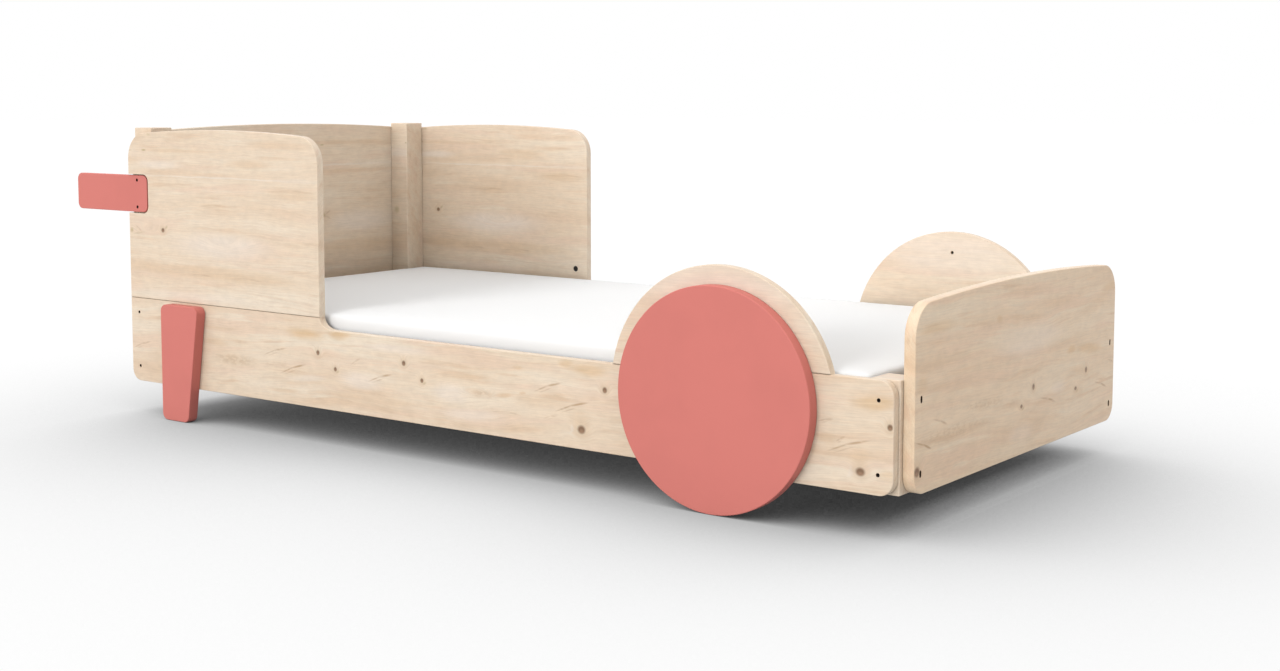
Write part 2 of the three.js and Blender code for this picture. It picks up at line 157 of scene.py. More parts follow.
class MattressSizes(bpy.types.PropertyGroup):
    """Shape of the mattress"""

    edge_radius: length_setting("Edge Radius", "Radius of the mattress's edges", 0.012)
    crown: length_setting("Crown", "How far the middle of the top stands over its edges", 0.005)
    crown_spread: number_setting("Crown Spread", "How far the level middle of the crown reaches", 2.2)
    draw_in: length_setting("Draw In", "How far the sides pull in between the corners", 0.002)
    cell: length_setting("Cell", "Width of the cloth mesh's cells", 0.012)
    room: length_setting("Room to Swell", "How much smaller the cover starts on each side", 0.0012)
    pressure: number_setting("Pressure", "How hard the filling presses on the cover", 4.0)
    puff: length_setting("Puff", "How far the cover may swell", 0.004)
    fill: share_setting("Fill", "How full the cover is, from slack to tight", 0.9)


class StageSettings(bpy.types.PropertyGroup):
    """Camera, floor and light"""

    camera_place: vector_setting(
        "Camera Place", "Where the camera stands", (2.4424, -2.9909, 0.7466),
        subtype="TRANSLATION", unit="LENGTH")
    camera_turn: vector_setting(
        "Camera Turn", "Tilt, roll and heading of the camera",
        (math.radians(84.97), math.radians(-0.04), math.radians(36.59)), subtype="EULER", unit="ROTATION")
    lens: number_setting("Lens", "Focal length in millimetres on a 36 mm sensor", 48.34)
    shift_up: number_setting("Shift", "Upward shift of the picture", -0.0696)
    sky: number_setting("Sky", "Strength of the even light from all round", 0.80)
    foot_dimming: share_setting(
        "Foot End Dimming", "How much weaker the even light is from the foot end", 0.20)
    key: number_setting("Key", "Strength of the soft light from the near side", 1.0)
    top: number_setting("Top", "Strength of the soft light from straight above", 0.8)
    spread: number_setting("Spread", "How wide the soft lights are", math.radians(30), subtype="ANGLE")
    key_way: vector_setting(
        "Key Direction", "From where the soft light comes", (-0.10, -0.97, 0.22), subtype="DIRECTION")
    bounces: bpy.props.IntProperty(
        name="Bounces", description="How often light is thrown on from surface to surface",
        default=1, min=0)
    floor: colour_setting("Floor", "Colour of the floor as the camera sees it", (1.0, 1.0, 1.0))
    shadow_reach: length_setting("Shadow Reach", "How far away the bed still shades the floor", 3.0)
    shadow_way: vector_setting(
        "Shadow Direction", "From where most of the light falls on the floor", (-0.28, 0.10, 1.0),
        subtype="DIRECTION")
    floor_bounce: colour_setting(
        "Floor Bounce", "Colour of the floor as it lights the bed from below", (0.55, 0.55, 0.55))


# Outlines are lists of flat points that run counter-clockwise
def corner(outline, across, up):
    point = Vector((across, up))
    if not outline or (outline[-1] - point).length > SAME_POINT:
        outline.append(point)


def arc(outline, across, up, wide, tall, start, end):
    """A stretch of an ellipse from one angle to another."""
    step = 2 * math.acos(1 - CHORD_TOLERANCE / max(wide, tall))
    steps = max(2, math.ceil(abs(end - start) / step))
    for index in range(steps + 1):
        angle = start + (end - start) * index / steps
        corner(outline, across + wide * math.cos(angle), up + tall * math.sin(angle))


def rounded_bottom(outline, left, right, bottom, radius):
    arc(outline, left + radius, bottom + radius, radius, radius, math.pi, 1.5 * math.pi)
    arc(outline, right - radius, bottom + radius, radius, radius, 1.5 * math.pi, 2 * math.pi)


def arched_top(outline, left, right, side_height, rise, radius):
    """From the right edge over one wide arc to the left edge, with a tangent corner at each end."""
    half = (right - left) / 2
    arch_radius = (half * half + rise * rise) / (2 * rise)
    arch_centre = side_height + rise - arch_radius
    reach = half - radius
    corner_centre = arch_centre + math.sqrt((arch_radius - radius) ** 2 - reach ** 2)
    slope = math.atan2(corner_centre - arch_centre, reach)
    arc(outline, right - radius, corner_centre, radius, radius, 0, slope)
    arc(outline, (left + right) / 2, arch_centre, arch_radius, arch_radius, slope, math.pi - slope)
    arc(outline, left + radius, corner_centre, radius, radius, math.pi - slope, math.pi)


def rounded_rectangle(left, right, bottom, top, radius):
    outline = []
    rounded_bottom(outline, left, right, bottom, radius)
    arc(outline, right - radius, top - radius, radius, radius, 0, math.pi / 2)
    arc(outline, left + radius, top - radius, radius, radius, math.pi / 2, math.pi)
    return outline


def closed(outline):
    """The outline without a last point that repeats the first."""
    if (outline[0] - outline[-1]).length <= SAME_POINT:
        return outline[:-1]
    return outline


def moved_in(outline, distance):
    """The outline moved inwards all round, its corners kept as mitres."""
    ring = []
    for index, point in enumerate(outline):
        before = (point - outline[index - 1]).normalized()
        after = (outline[(index + 1) % len(outline)] - point).normalized()
        left_before = Vector((-before.y, before.x))
        left_after = Vector((-after.y, after.x))
        mitre = left_before + left_after
        mitre /= mitre.dot(left_before)
        ring.append(point + mitre * distance)
    return ring


# A place turns an outline's point and a depth into a point of the bed
def side_place(point, depth):
    return Vector((point.x, depth, point.y))


def cross_place(point, depth):
    return Vector((depth, point.x, point.y))


def upright_place(point, depth):
    return Vector((point.x, point.y, depth))


def skin(rings):
    """A closed shape through rings of equally many points, with a flat cap at each end."""
    shape = bmesh.new()
    loops = [[shape.verts.new(point) for point in ring] for ring in rings]
    count = len(loops[0])
    for low, high in zip(loops, loops[1:]):
        for index in range(count):
            following = (index + 1) % count
            shape.faces.new((low[index], low[following], high[following], high[index]))
    shape.faces.new(reversed(loops[0]))
    shape.faces.new(loops[-1])
    bmesh.ops.recalc_face_normals(shape, faces=shape.faces)
    return shape


def to_object(name, shape):
    mesh = bpy.data.meshes.new(name)
    shape.to_mesh(mesh)
    shape.free()
    piece = bpy.data.objects.new(name, mesh)
    bpy.context.scene.collection.objects.link(piece)
    return piece


def rounded_board(name, outline, low, high, rounding, place):
    """A board between two depths with all its edges rounded."""
    outline = closed(outline)
    front = []
    for step in range(ROUND_STEPS + 1):
        angle = math.pi / 2 * (1 - step / ROUND_STEPS)
        inwards = rounding * (1 - math.cos(angle))
        depth = rounding * (1 - math.sin(angle))
        front.append((moved_in(outline, inwards), depth))
    rings = [[place(point, low + depth) for point in ring] for ring, depth in front]
    rings += [[place(point, high - depth) for point in ring] for ring, depth in reversed(front)]
    return to_object(name, skin(rings))


def turned(profile, sides, start, heading):
    """A shape turned round a line: its profile holds a radius and a distance along the line for each ring."""
    heading = Vector(heading)
    turn = heading.to_track_quat("Z", "Y")
    rings = []
    for radius, along in profile:
        ring = []
        for side in range(sides):
            angle = 2 * math.pi * side / sides
            flat = Vector((radius * math.cos(angle), radius * math.sin(angle), along))
            ring.append(Vector(start) + turn @ flat)
        rings.append(ring)
    return skin(rings)


def block(low, high):
    shape = bmesh.new()
    bmesh.ops.create_cube(shape, size=1)
    low = Vector(low)
    size = Vector(high) - low
    for vertex in shape.verts:
        vertex.co = Vector(low[axis] + (vertex.co[axis] + 0.5) * size[axis] for axis in (X, Y, Z))
    return shape


def prism(outline, low, high, place):
    outline = closed(outline)
    return skin([[place(point, low) for point in outline], [place(point, high) for point in outline]])


def evaluated(piece):
    """The piece with its modifiers made part of its mesh."""
    bpy.context.view_layer.update()
    ready = piece.evaluated_get(bpy.context.evaluated_depsgraph_get())
    mesh = bpy.data.meshes.new_from_object(ready)
    piece.modifiers.clear()
    old = piece.data
    piece.data = mesh
    mesh.name = piece.name
    if old.users == 0:
        bpy.data.meshes.remove(old)
    return piece


def carve(piece, cutters, how="DIFFERENCE"):
    """Takes each cutter out of the piece, or keeps what lies inside it."""
    helpers = []
    for index, shape in enumerate(cutters):
        helper = to_object(f"{piece.name}_cutter_{index}", shape)
        helpers.append(helper)
        cut = piece.modifiers.new("Cut", "BOOLEAN")
        cut.operation = how
        cut.solver = "MANIFOLD"
        cut.object = helper
    evaluated(piece)
    for helper in helpers:
        mesh = helper.data
        bpy.data.objects.remove(helper)
        bpy.data.meshes.remove(mesh)
    return piece


def mirrored(piece, name):
    """A copy of a near piece on the far side."""
    mesh = piece.data.copy()
    mesh.name = name
    mesh.transform(Matrix.Scale(-1, 4, (0, 1, 0)))
    mesh.flip_normals()
    copy = bpy.data.objects.new(name, mesh)
    bpy.context.scene.collection.objects.link(copy)
    return copy


def smooth(piece, angle=SHARP_ANGLE):
    """Rounds shade smoothly, flat faces stay flat and cut edges stay crisp."""
    piece.data.shade_smooth()
    piece.data.set_sharp_from_angle(angle=angle)
    weighted = piece.modifiers.new("Weighted", "WEIGHTED_NORMAL")
    weighted.keep_sharp = True
    return evaluated(piece)


def settle(piece, material, nodes, body=BODY):
    """Gives a finished piece its material, ties it to its body and hides the nodes that it stands for."""
    piece.data.materials.clear()
    piece.data.materials.append(material)
    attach(piece, body)
    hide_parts(*nodes)


def settle_pair(piece, material, node):
    """Settles a piece of the near side, and a mirrored copy of it on the far side."""
    far = mirrored(piece, piece.name.replace("near", "far"))
    settle(piece, material, [node])
    settle(far, material, [node.replace("near", "far")])


# Holes for the fasteners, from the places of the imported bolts
def bolt_facts(node):
    """Where a bolt's head starts, which way it points and where it ends, from its box."""
    low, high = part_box(node)
    size = high - low
    axis = max(range(3), key=lambda index: size[index])
    middle = (low + high) / 2
    inwards = -1 if middle[axis] > 0 else 1
    if node.startswith("guard_screw"):
        inwards = -inwards
    heading = Vector((0, 0, 0))
    heading[axis] = inwards
    start = middle.copy()
    start[axis] = low[axis] if inwards > 0 else high[axis]
    return start, heading, size[axis]


BOLT_KINDS = ("rail_bolt_", "head_panel_bolt_", "foot_panel_bolt_", "plate_bolt_", "guard_screw_")


def nodes_named(kinds):
    """The sorted names of the nodes whose names start with one of the given words."""
    return sorted(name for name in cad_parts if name.startswith(kinds))


def bolt_hole(node, sizes, ease=0.0004):
    """The stepped hole of a bolt, its rim eased a little where it meets the face."""
    start, heading, length = bolt_facts(node)
    wide = sizes.head_radius + sizes.play
    narrow = sizes.shank_radius + sizes.play
    sink = sizes.sink
    shoulder = sink + sizes.head_length + sizes.play
    face = start - heading * sink
    profile = [
        (wide + ease + sink, -sink),
        (wide + ease, 0),
        (wide, ease),
        (wide, shoulder),
        (narrow, shoulder),
        (narrow, sink + length + sizes.play),
    ]
    return turned(profile, HOLE_SIDES, face, heading)


def bolt_slot(node, sizes):
    """The upright slot with round ends in which an end panel's bolt head sits."""
    start, heading, _ = bolt_facts(node)
    wide = sizes.head_radius + sizes.play
    tall = sizes.slot_height / 2
    shoulder = start.x + heading.x * (sizes.head_length + sizes.play)
    outside = start.x - heading.x * sizes.sink * 2
    section = rounded_rectangle(start.y - wide, start.y + wide, start.z - tall, start.z + tall, wide)
    return prism(section, min(shoulder, outside), max(shoulder, outside), cross_place)


def cam_hole(m, sizes, ease=0.0002, outside=0.005):
    """The hole of a cam fitting in a cab panel's inner face, its rim eased a little."""
    low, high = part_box("cab_cam_near")
    middle = (low + high) / 2
    wide = sizes.cam_radius + sizes.play
    profile = [
        (wide + ease + outside, -outside),
        (wide, ease),
        (wide, high.y - low.y + 3 * sizes.play),
    ]
    return turned(profile, CAM_HOLE_SIDES, (middle.x, m["back"], middle.z), TO_NEAR_SIDE)


def holes(names, sizes):
    return [bolt_hole(name, sizes) for name in names]


def near(prefix):
    return [name for name in nodes_named(prefix) if "near" in name]


# The rail, the cab panel and the wheel guard share one side view, which the seams part. A little past the
# scoop the rail is level, and cutters reach up over the highest board.
PAST_SCOOP = 0.1
ABOVE_ALL = 1.0


def side_measures(sizes):
    """The lengths and heights that the boards of one side share."""
    rail_low, rail_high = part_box("side_rail_near")
    _, cab_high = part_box("cab_panel_near")
    guard_low, guard_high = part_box("wheel_guard_near")
    wheel_low, wheel_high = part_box("wheel_near")
    radius = (wheel_high.x - wheel_low.x) / 2
    return {
        "left": rail_low.x, "right": rail_high.x, "bottom": rail_low.z, "top": rail_high.z,
        "dip": guard_low.z, "front": rail_low.y, "back": rail_high.y,
        "cab_end": cab_high.x, "cab_top": cab_high.z,
        "wheel_x": (wheel_low.x + wheel_high.x) / 2, "wheel_z": wheel_high.z / 2,
        "wheel_radius": radius, "guard_radius": radius + sizes.guard_reveal,
        "guard_end": guard_high.x, "level_start": cab_high.x + sizes.scoop_length + PAST_SCOOP,
    }


def side_board(name, sizes, m):
    dip_angle = math.pi - math.asin((m["dip"] - m["wheel_z"]) / m["guard_radius"])
    top_angle = math.asin((m["top"] - m["wheel_z"]) / m["guard_radius"])
    scoop_end = m["cab_end"] + sizes.scoop_length
    radius = sizes.rail_corner
    rise = sizes.cab_rise
    outline = []
    rounded_bottom(outline, m["left"], m["right"], m["bottom"], radius)
    arc(outline, m["right"] - radius, m["top"] - radius, radius, radius, 0, math.pi / 2)
    arc(outline, m["wheel_x"], m["wheel_z"], m["guard_radius"], m["guard_radius"], top_angle, dip_angle)
    arc(outline, scoop_end, m["top"], sizes.scoop_length, m["top"] - m["dip"], 1.5 * math.pi, math.pi)
    arched_top(outline, m["left"], m["cab_end"], m["cab_top"] - rise, rise, sizes.cab_corner)
    return rounded_board(name, outline, m["front"], m["back"], sizes.edge_round, side_place)


def through_side(m, left, right, bottom, top=ABOVE_ALL):
    """A block that reaches through the side boards from face to face."""
    return block((left, m["front"] - OVERCUT, bottom), (right, m["back"] + OVERCUT, top))


def seam_notches(sizes, m, height, start, end):
    """The notches between the eased edges of two boards that meet at a height, on both their faces."""
    deep = sizes.seam_depth
    wide = sizes.seam_width / 2
    return [
        prism([Vector((face, height - wide)), Vector((face + deep, height)), Vector((face, height + wide)),
               Vector((face - deep, height))], start, end, cross_place)
        for face in (m["front"], m["back"])]


def cab_seam_notches(sizes, m):
    return seam_notches(sizes, m, m["top"], m["left"] - OVERCUT, m["cab_end"] + OVERCUT)


def guard_seam_notches(sizes, m):
    past_wheel = seam_notches(sizes, m, m["top"], m["wheel_x"], m["guard_end"] + OVERCUT)
    return past_wheel + seam_notches(sizes, m, m["dip"], m["level_start"], m["wheel_x"])


def all_seam_notches(sizes, m):
    return cab_seam_notches(sizes, m) + guard_seam_notches(sizes, m)


class BED_OT_side_rails(bpy.types.Operator):
    """Builds the two long boards at the sides of the bed"""

    bl_idname = "bed.side_rails"
    bl_label = "Side Rails"

    def execute(self, context):
        sizes = context.scene.bed_boards
        m = side_measures(sizes)
        rail = side_board("side_rail_near_board", sizes, m)
        over_rail = through_side(m, m["left"] - OVERCUT, m["right"] + OVERCUT, m["top"])
        over_dip = through_side(m, m["cab_end"] + sizes.scoop_length, m["wheel_x"], m["dip"])
        carve(rail, [over_rail, over_dip])
        carve(rail, holes(near("rail_bolt"), context.scene.bed_fasteners))
        carve(rail, all_seam_notches(sizes, m))
        settle_pair(smooth(rail), rail_pine(context), "side_rail_near")
        return {"FINISHED"}


class BED_OT_cab_panels(bpy.types.Operator):
    """Builds the two arched boards of the cab at the head end"""

    bl_idname = "bed.cab_panels"
    bl_label = "Cab Panels"

    def execute(self, context):
        sizes = context.scene.bed_boards
        fasteners = context.scene.bed_fasteners
        m = side_measures(sizes)
        cab = side_board("cab_panel_near_board", sizes, m)
        carve(cab, [through_side(m, m["left"] - OVERCUT, m["level_start"], m["top"])], "INTERSECT")
        plate_low, plate_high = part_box("side_plate_near")
        gap = sizes.pocket_gap
        pocket = rounded_rectangle(
            plate_low.x, plate_high.x + sizes.pocket_end_gap, plate_low.z - gap, plate_high.z + gap,
            sizes.plate_corner + gap)
        carve(cab, [prism(pocket, m["front"] - OVERCUT, plate_high.y, side_place), cam_hole(m, fasteners)])
        carve(cab, holes(near("plate_bolt"), fasteners))
        carve(cab, cab_seam_notches(sizes, m))
        settle_pair(smooth(cab), cab_pine(context), "cab_panel_near")
        return {"FINISHED"}


class BED_OT_wheel_guards(bpy.types.Operator):
    """Builds the two round boards over the wheels"""

    bl_idname = "bed.wheel_guards"
    bl_label = "Wheel Guards"

    def execute(self, context):
        sizes = context.scene.bed_boards
        m = side_measures(sizes)
        guard = side_board("wheel_guard_near_board", sizes, m)
        carve(guard, [through_side(m, m["level_start"], m["guard_end"], m["dip"])], "INTERSECT")
        carve(guard, [through_side(m, m["wheel_x"], m["right"], m["dip"] - OVERCUT, m["top"])])
        carve(guard, holes(near("guard_screw"), context.scene.bed_fasteners))
        carve(guard, guard_seam_notches(sizes, m))
        settle_pair(smooth(guard), guard_pine(context), "wheel_guard_near")
        return {"FINISHED"}


class BED_OT_end_panels(bpy.types.Operator):
    """Builds the arched boards across the head end and the foot end"""

    bl_idname = "bed.end_panels"
    bl_label = "End Panels"

    def execute(self, context):
        sizes = context.scene.bed_boards
        fasteners = context.scene.bed_fasteners
        for end, pine in (("head", head_pine), ("foot", foot_pine)):
            low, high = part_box(f"{end}_panel")
            outline = []
            rounded_bottom(outline, low.y, high.y, low.z, sizes.end_bottom_corner)
            arched_top(outline, low.y, high.y, high.z - sizes.end_rise, sizes.end_rise, sizes.end_top_corner)
            panel = rounded_board(f"{end}_panel_board", outline, low.x, high.x, sizes.edge_round, cross_place)
            names = nodes_named(f"{end}_panel_bolt")
            carve(panel, [bolt_slot(name, fasteners) for name in names])
            carve(panel, holes(names, fasteners))
            settle(smooth(panel), pine(context), [f"{end}_panel"])
        return {"FINISHED"}


class BED_OT_corner_posts(bpy.types.Operator):
    """Builds the four square posts in the corners"""

    bl_idname = "bed.corner_posts"
    bl_label = "Corner Posts"

    def execute(self, context):
        rounding = context.scene.bed_boards.post_round
        for end in ("head", "foot"):
            low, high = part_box(f"{end}_post_near")
            section = rounded_rectangle(low.x, high.x, low.y, high.y, rounding)
            post = rounded_board(f"{end}_post_near_beam", section, low.z, high.z, rounding, upright_place)
            names = near(f"rail_bolt_near_{end}") + near(f"{end}_panel_bolt")
            if end == "head":
                names += near("plate_bolt")
            carve(post, holes(names, context.scene.bed_fasteners))
            settle_pair(smooth(post), post_pine(context), f"{end}_post_near")
        return {"FINISHED"}


class BED_OT_wheels(bpy.types.Operator):
    """Builds the two painted discs that carry the foot end"""

    bl_idname = "bed.wheels"
    bl_label = "Wheels"

    def execute(self, context):
        sizes = context.scene.bed_boards
        low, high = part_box("wheel_near")
        m = side_measures(sizes)
        outline = []
        arc(outline, m["wheel_x"], m["wheel_z"], m["wheel_radius"], m["wheel_radius"], 0, 2 * math.pi)
        wheel = rounded_board("wheel_near_disc", outline, low.y, high.y, sizes.edge_round, side_place)
        carve(wheel, holes(near("guard_screw"), context.scene.bed_fasteners))
        settle_pair(smooth(wheel), coral_paint(context), "wheel_near")
        return {"FINISHED"}


# The steps in which the lean of a leg's slanted edge is found
LEAN_STEPS = 20


class BED_OT_legs(bpy.types.Operator):
    """Builds the two painted legs that carry the head end"""

    bl_idname = "bed.legs"
    bl_label = "Legs"

    def execute(self, context):
        sizes = context.scene.bed_boards
        low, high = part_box("leg_near")
        radius = sizes.leg_corner
        upper = high.z - radius
        goal = high.x - low.x

        def slanted_centre(height, lean):
            edge = low.x + sizes.leg_foot_width + height * math.tan(lean)
            return edge - radius / math.cos(lean)

        # The corner hides the slanted edge's upper end, so the lean is found from the box in steps
        lean = math.atan2(goal - sizes.leg_foot_width, high.z)
        for _ in range(LEAN_STEPS):
            widest = slanted_centre(upper, lean) + radius - low.x
            lean += (goal - widest) / high.z
        outline = []
        arc(outline, low.x + radius, radius, radius, radius, math.pi, 1.5 * math.pi)
        arc(outline, slanted_centre(radius, lean), radius, radius, radius, -math.pi / 2, -lean)
        arc(outline, slanted_centre(upper, lean), upper, radius, radius, -lean, math.pi / 2)
        arc(outline, low.x + radius, upper, radius, radius, math.pi / 2, math.pi)
        leg = rounded_board("leg_near_board", outline, low.y, high.y, sizes.edge_round, side_place)
        settle_pair(smooth(leg), coral_paint(context), "leg_near")
        return {"FINISHED"}


class BED_OT_side_plates(bpy.types.Operator):
    """Builds the two painted plates behind the cab"""

    bl_idname = "bed.side_plates"
    bl_label = "Side Plates"

    def execute(self, context):
        sizes = context.scene.bed_boards
        low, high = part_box("side_plate_near")
        outline = rounded_rectangle(low.x, high.x, low.z, high.z, sizes.plate_corner)
        plate = rounded_board("side_plate_near_board", outline, low.y, high.y, sizes.edge_round, side_place)
        carve(plate, holes(near("plate_bolt"), context.scene.bed_fasteners))
        settle_pair(smooth(plate), coral_paint(context), "side_plate_near")
        return {"FINISHED"}


class BED_OT_ledgers(bpy.types.Operator):
    """Builds the two battens that carry the slats"""

    bl_idname = "bed.ledgers"
    bl_label = "Slat Ledgers"

    def execute(self, context):
        sizes = context.scene.bed_boards
        low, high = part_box("slat_ledger_near")
        section = rounded_rectangle(low.y, high.y, low.z, high.z, sizes.ledger_corner)
        ledger = rounded_board(
            "slat_ledger_near_batten", section, low.x, high.x, sizes.ledger_round, cross_place)
        settle_pair(smooth(ledger), batten_pine(context), "slat_ledger_near")
        return {"FINISHED"}


# Node trees. A colour mix has its sockets at these places.
MIX_FACTOR, MIX_FIRST, MIX_SECOND = 0, 6, 7
MIX_RESULT = 2


class Graph:
    """A node tree written in few words. Most calls add a node and return its output."""

    def __init__(self, tree):
        self.tree = tree
        self.column = 0

    def node(self, kind, inputs=(), **settings):
        made = self.tree.nodes.new(kind)
        made.location = (self.column * 60, -(self.column % 7) * 90)
        self.column += 1
        for name, value in settings.items():
            setattr(made, name, value)
        for key, value in dict(inputs).items():
            socket = made.inputs[key]
            if isinstance(value, bpy.types.NodeSocket):
                self.tree.links.new(value, socket)
            else:
                socket.default_value = value
        return made

    def add(self, kind, inputs=(), **settings):
        return self.node(kind, inputs, **settings).outputs[0]

    def sum(self, operation, *values):
        return self.add("ShaderNodeMath", enumerate(values), operation=operation)

    def vector(self, operation, *values):
        return self.node("ShaderNodeVectorMath", enumerate(values), operation=operation)

    def coordinates(self, kind="Object"):
        return self.node("ShaderNodeTexCoord").outputs[kind]

    def parts(self, vector):
        return self.node("ShaderNodeSeparateXYZ", ((0, vector),)).outputs

    def scaled(self, vector, factor):
        made = self.vector("SCALE", vector)
        self.tree.links.new(factor, made.inputs["Scale"])
        return made.outputs[0]

    def blend(self, factor, first, second, how="MIX"):
        made = self.node("ShaderNodeMix", data_type="RGBA", blend_type=how)
        made.clamp_factor = True
        for index, value in ((MIX_FACTOR, factor), (MIX_FIRST, first), (MIX_SECOND, second)):
            if isinstance(value, bpy.types.NodeSocket):
                self.tree.links.new(value, made.inputs[index])
            elif index == MIX_FACTOR:
                made.inputs[index].default_value = value
            else:
                made.inputs[index].default_value = (*value, 1)
        return made.outputs[MIX_RESULT]

    def fade(self, value, start, end, low=0.0, high=1.0):
        """A value that goes smoothly from low at start to high at end."""
        return self.add("ShaderNodeMapRange", (
            ("Value", value), ("From Min", start), ("From Max", end), ("To Min", low), ("To Max", high)),
            interpolation_type="SMOOTHSTEP")

    def noise(self, vector, scale=1.0, detail=2.0, roughness=0.5, output="Fac"):
        made = self.node("ShaderNodeTexNoise", (
            ("Vector", vector), ("Scale", scale), ("Detail", detail), ("Roughness", roughness)))
        return made.outputs[output]


def new_material(name):
    material = bpy.data.materials.new(name)
    material.use_nodes = True
    material.node_tree.nodes.clear()
    return material


def made_once(fill):
    """Makes a finish when a piece first asks for it, and hands out the same one afterwards."""
    name = fill.__name__.replace("_", " ")

    def finish(context):
        if name not in bpy.data.materials:
            fill(context, new_material(name).node_tree)
        return bpy.data.materials[name]

    return finish


def darker(colour, share):
    return tuple(channel * share for channel in colour)


def surface(graph, colour, roughness, height, strength, distance, **constants):
    """A shader whose surface rises and falls with a height, and the tree's output."""
    normal = graph.add("ShaderNodeBump", (("Height", height), ("Strength", strength), ("Distance", distance)))
    shader = graph.node("ShaderNodeBsdfPrincipled", (
        ("Base Color", colour), ("Roughness", roughness), ("Normal", normal)))
    for name, value in constants.items():
        shader.inputs[name.replace("_", " ")].default_value = value
    graph.node("ShaderNodeOutputMaterial", (("Surface", shader.outputs[0]),))


def mark_field(graph, place, marks, inner, outer):
    """How far marks cover each point, from zero to their strength. A mark is its place along and across the
    grain, half its length and half its height, its turn in degrees and its strength."""
    total = None
    for along, up, length, height, turn, strength in marks:
        local = graph.add("ShaderNodeMapping", (
            ("Vector", place), ("Location", (along, 0, up)),
            ("Rotation", (0, math.radians(-turn), 0)), ("Scale", (length, 1, height))), vector_type="TEXTURE")
        distance = graph.vector("LENGTH", local).outputs["Value"]
        near_it = graph.fade(distance, outer, inner, 0.0, strength)
        total = near_it if total is None else graph.sum("MAXIMUM", total, near_it)
    return total


def spot(along, up, half_length, half_height, turn=0, strength=1.0):
    """A mark on a board, with its lengths given in millimetres."""
    return along / 1000, up / 1000, half_length / 1000, half_height / 1000, turn, strength


def curl(along, up, half_length, turn, strength=1.0):
    """A slender curved stroke with a faint second one under it."""
    way = Vector((math.cos(math.radians(turn)), math.sin(math.radians(turn)))) * half_length * 0.45
    return [
        spot(along - way.x, up - way.y, half_length * 0.65, 1.8, turn + 4, strength * 0.8),
        spot(along + way.x, up + way.y, half_length * 0.65, 2.6, turn - 4, strength),
        spot(along - way.x * 0.4, up - way.y - 3.0, half_length * 0.55, 1.5, turn + 2, strength * 0.5),
    ]


def knot_with_tail(along, up, half_length=5.2, half_height=5.6, tail=True):
    """The marks of a small knot: the knot itself and the olive tail at its lower right."""
    tails = [spot(along + 7, up - 5, 7, 3.5, 25, 0.55)] if tail else []
    return [spot(along, up, half_length, half_height)], tails


# The ellipses round the holes, inside which painted shade darkens the wood, and how deep below its face the
# painted shade is full
HOLE_SHADE_HALF_LENGTH = 0.005
HOLE_SHADE_HALF_HEIGHT = 0.008
HOLE_SHADE_EDGE = 1.1
SHADE_FROM = 0.0002
SHADE_FULL = 0.0010


def bored(graph, context, colour, place, into, names, axes):
    """The colour, with painted shade on the walls of the holes in which the named bolts sit."""
    along, across, depth = axes
    marks = []
    for name in names:
        start, _, _ = bolt_facts(name)
        face = abs(start[depth]) + context.scene.bed_fasteners.sink
        marks.append((start[along], start[across], HOLE_SHADE_HALF_LENGTH, HOLE_SHADE_HALF_HEIGHT, 0, 1.0))
    beside = mark_field(graph, place, marks, 1.0, HOLE_SHADE_EDGE)
    inside = graph.fade(into, face - SHADE_FROM, face - SHADE_FULL)
    return graph.blend(graph.sum("MULTIPLY", beside, inside), colour, tuple(context.scene.bed_colours.bore))


# Noises of the pine: cells per metre along and across the grain, a seed of their own, detail and roughness
PINE_NOISES = {
    "wave": (1.6, 8.0, 0, 2, 0.5),
    "ripple": (13.0, 36.0, 3, 3, 0.5),
    "presence": (2.6, 17.0, 7, 2, 0.5),
    "band": (1.5, 15.0, 11, 2, 0.6),
    "streak": (4.5, 62.0, 13, 3, 0.62),
    "rosy": (3.0, 30.0, 15, 3, 0.5),
    "fibre": (17.0, 560.0, 17, 2, 0.7),
    "dash": (34.0, 330.0, 19, 2, 0.5),
    "cloud": (34.0, 60.0, 21, 3, 0.65),
    "ragged": (22.0, 90.0, 23, 2, 0.5),
    "spots": (80.0, 180.0, 27, 1, 0.5),
    "breaks": (45.0, 240.0, 29, 1, 0.5),
}

# Growth lines: their distance, how slender they are, and how far waves, ripples and marks bend them
LINE_DISTANCE = 0.0068
LINE_SHARPNESS = 2.5
WAVE_BEND = 0.060
RIPPLE_BEND = 0.008
INWARD_BEND = 0.8
MARK_BENDS = {"knots": (3, 0.016), "figures": (1, 0.020)}
BEND_END = 1.15

# Tints of the unmarked wood: the noise, where it starts and where it is full, its weight and its colour
CLEAR_TINTS = (
    ("band", 0.50, 0.72, 0.75, "pine_band"), ("rosy", 0.48, 0.68, 0.75, "pine_rosy"),
    ("streak", 0.47, 0.26, 0.70, "pine_pale"), ("streak", 0.52, 0.74, 0.90, "pine_band"),
)
LINE_WEIGHT = 0.26
DASH_WEIGHT = 0.12
DASH_COLOUR = (0.640, 0.450, 0.290)

# How marks look: their kind, where they are full and where they end in shares of their size, their weight,
# their colour, and the noise that breaks them up. The knots' dark rim has the colour that the user sets.
MARK_LOOKS = (
    ("pales", 0.35, 1.35, 0.90, (0.900, 0.775, 0.660), "streak"),
    ("warms", 0.35, 1.35, 0.90, (0.790, 0.580, 0.390), "streak"),
    ("ambers", 0.35, 1.35, 1.00, (0.770, 0.540, 0.320), "streak"),
    ("mottles", 0.20, 1.30, 0.75, (0.670, 0.480, 0.315), "spots"),
    ("strokes", 0.20, 1.30, 0.80, (0.520, 0.320, 0.170), "breaks"),
    ("tails", 0.10, 1.20, 1.00, (0.560, 0.430, 0.220), None),
    ("knots", 1.00, 2.60, 0.35, (0.700, 0.500, 0.320), None),
    ("knots", 0.45, 1.15, 0.95, None, None),
    ("cores", 0.10, 1.00, 0.60, (0.440, 0.260, 0.155), None),
)
RAGGED_KINDS = ("pales", "warms", "ambers", "mottles")
RAGGED_REACH = Vector((0.028, 0, 0.006))

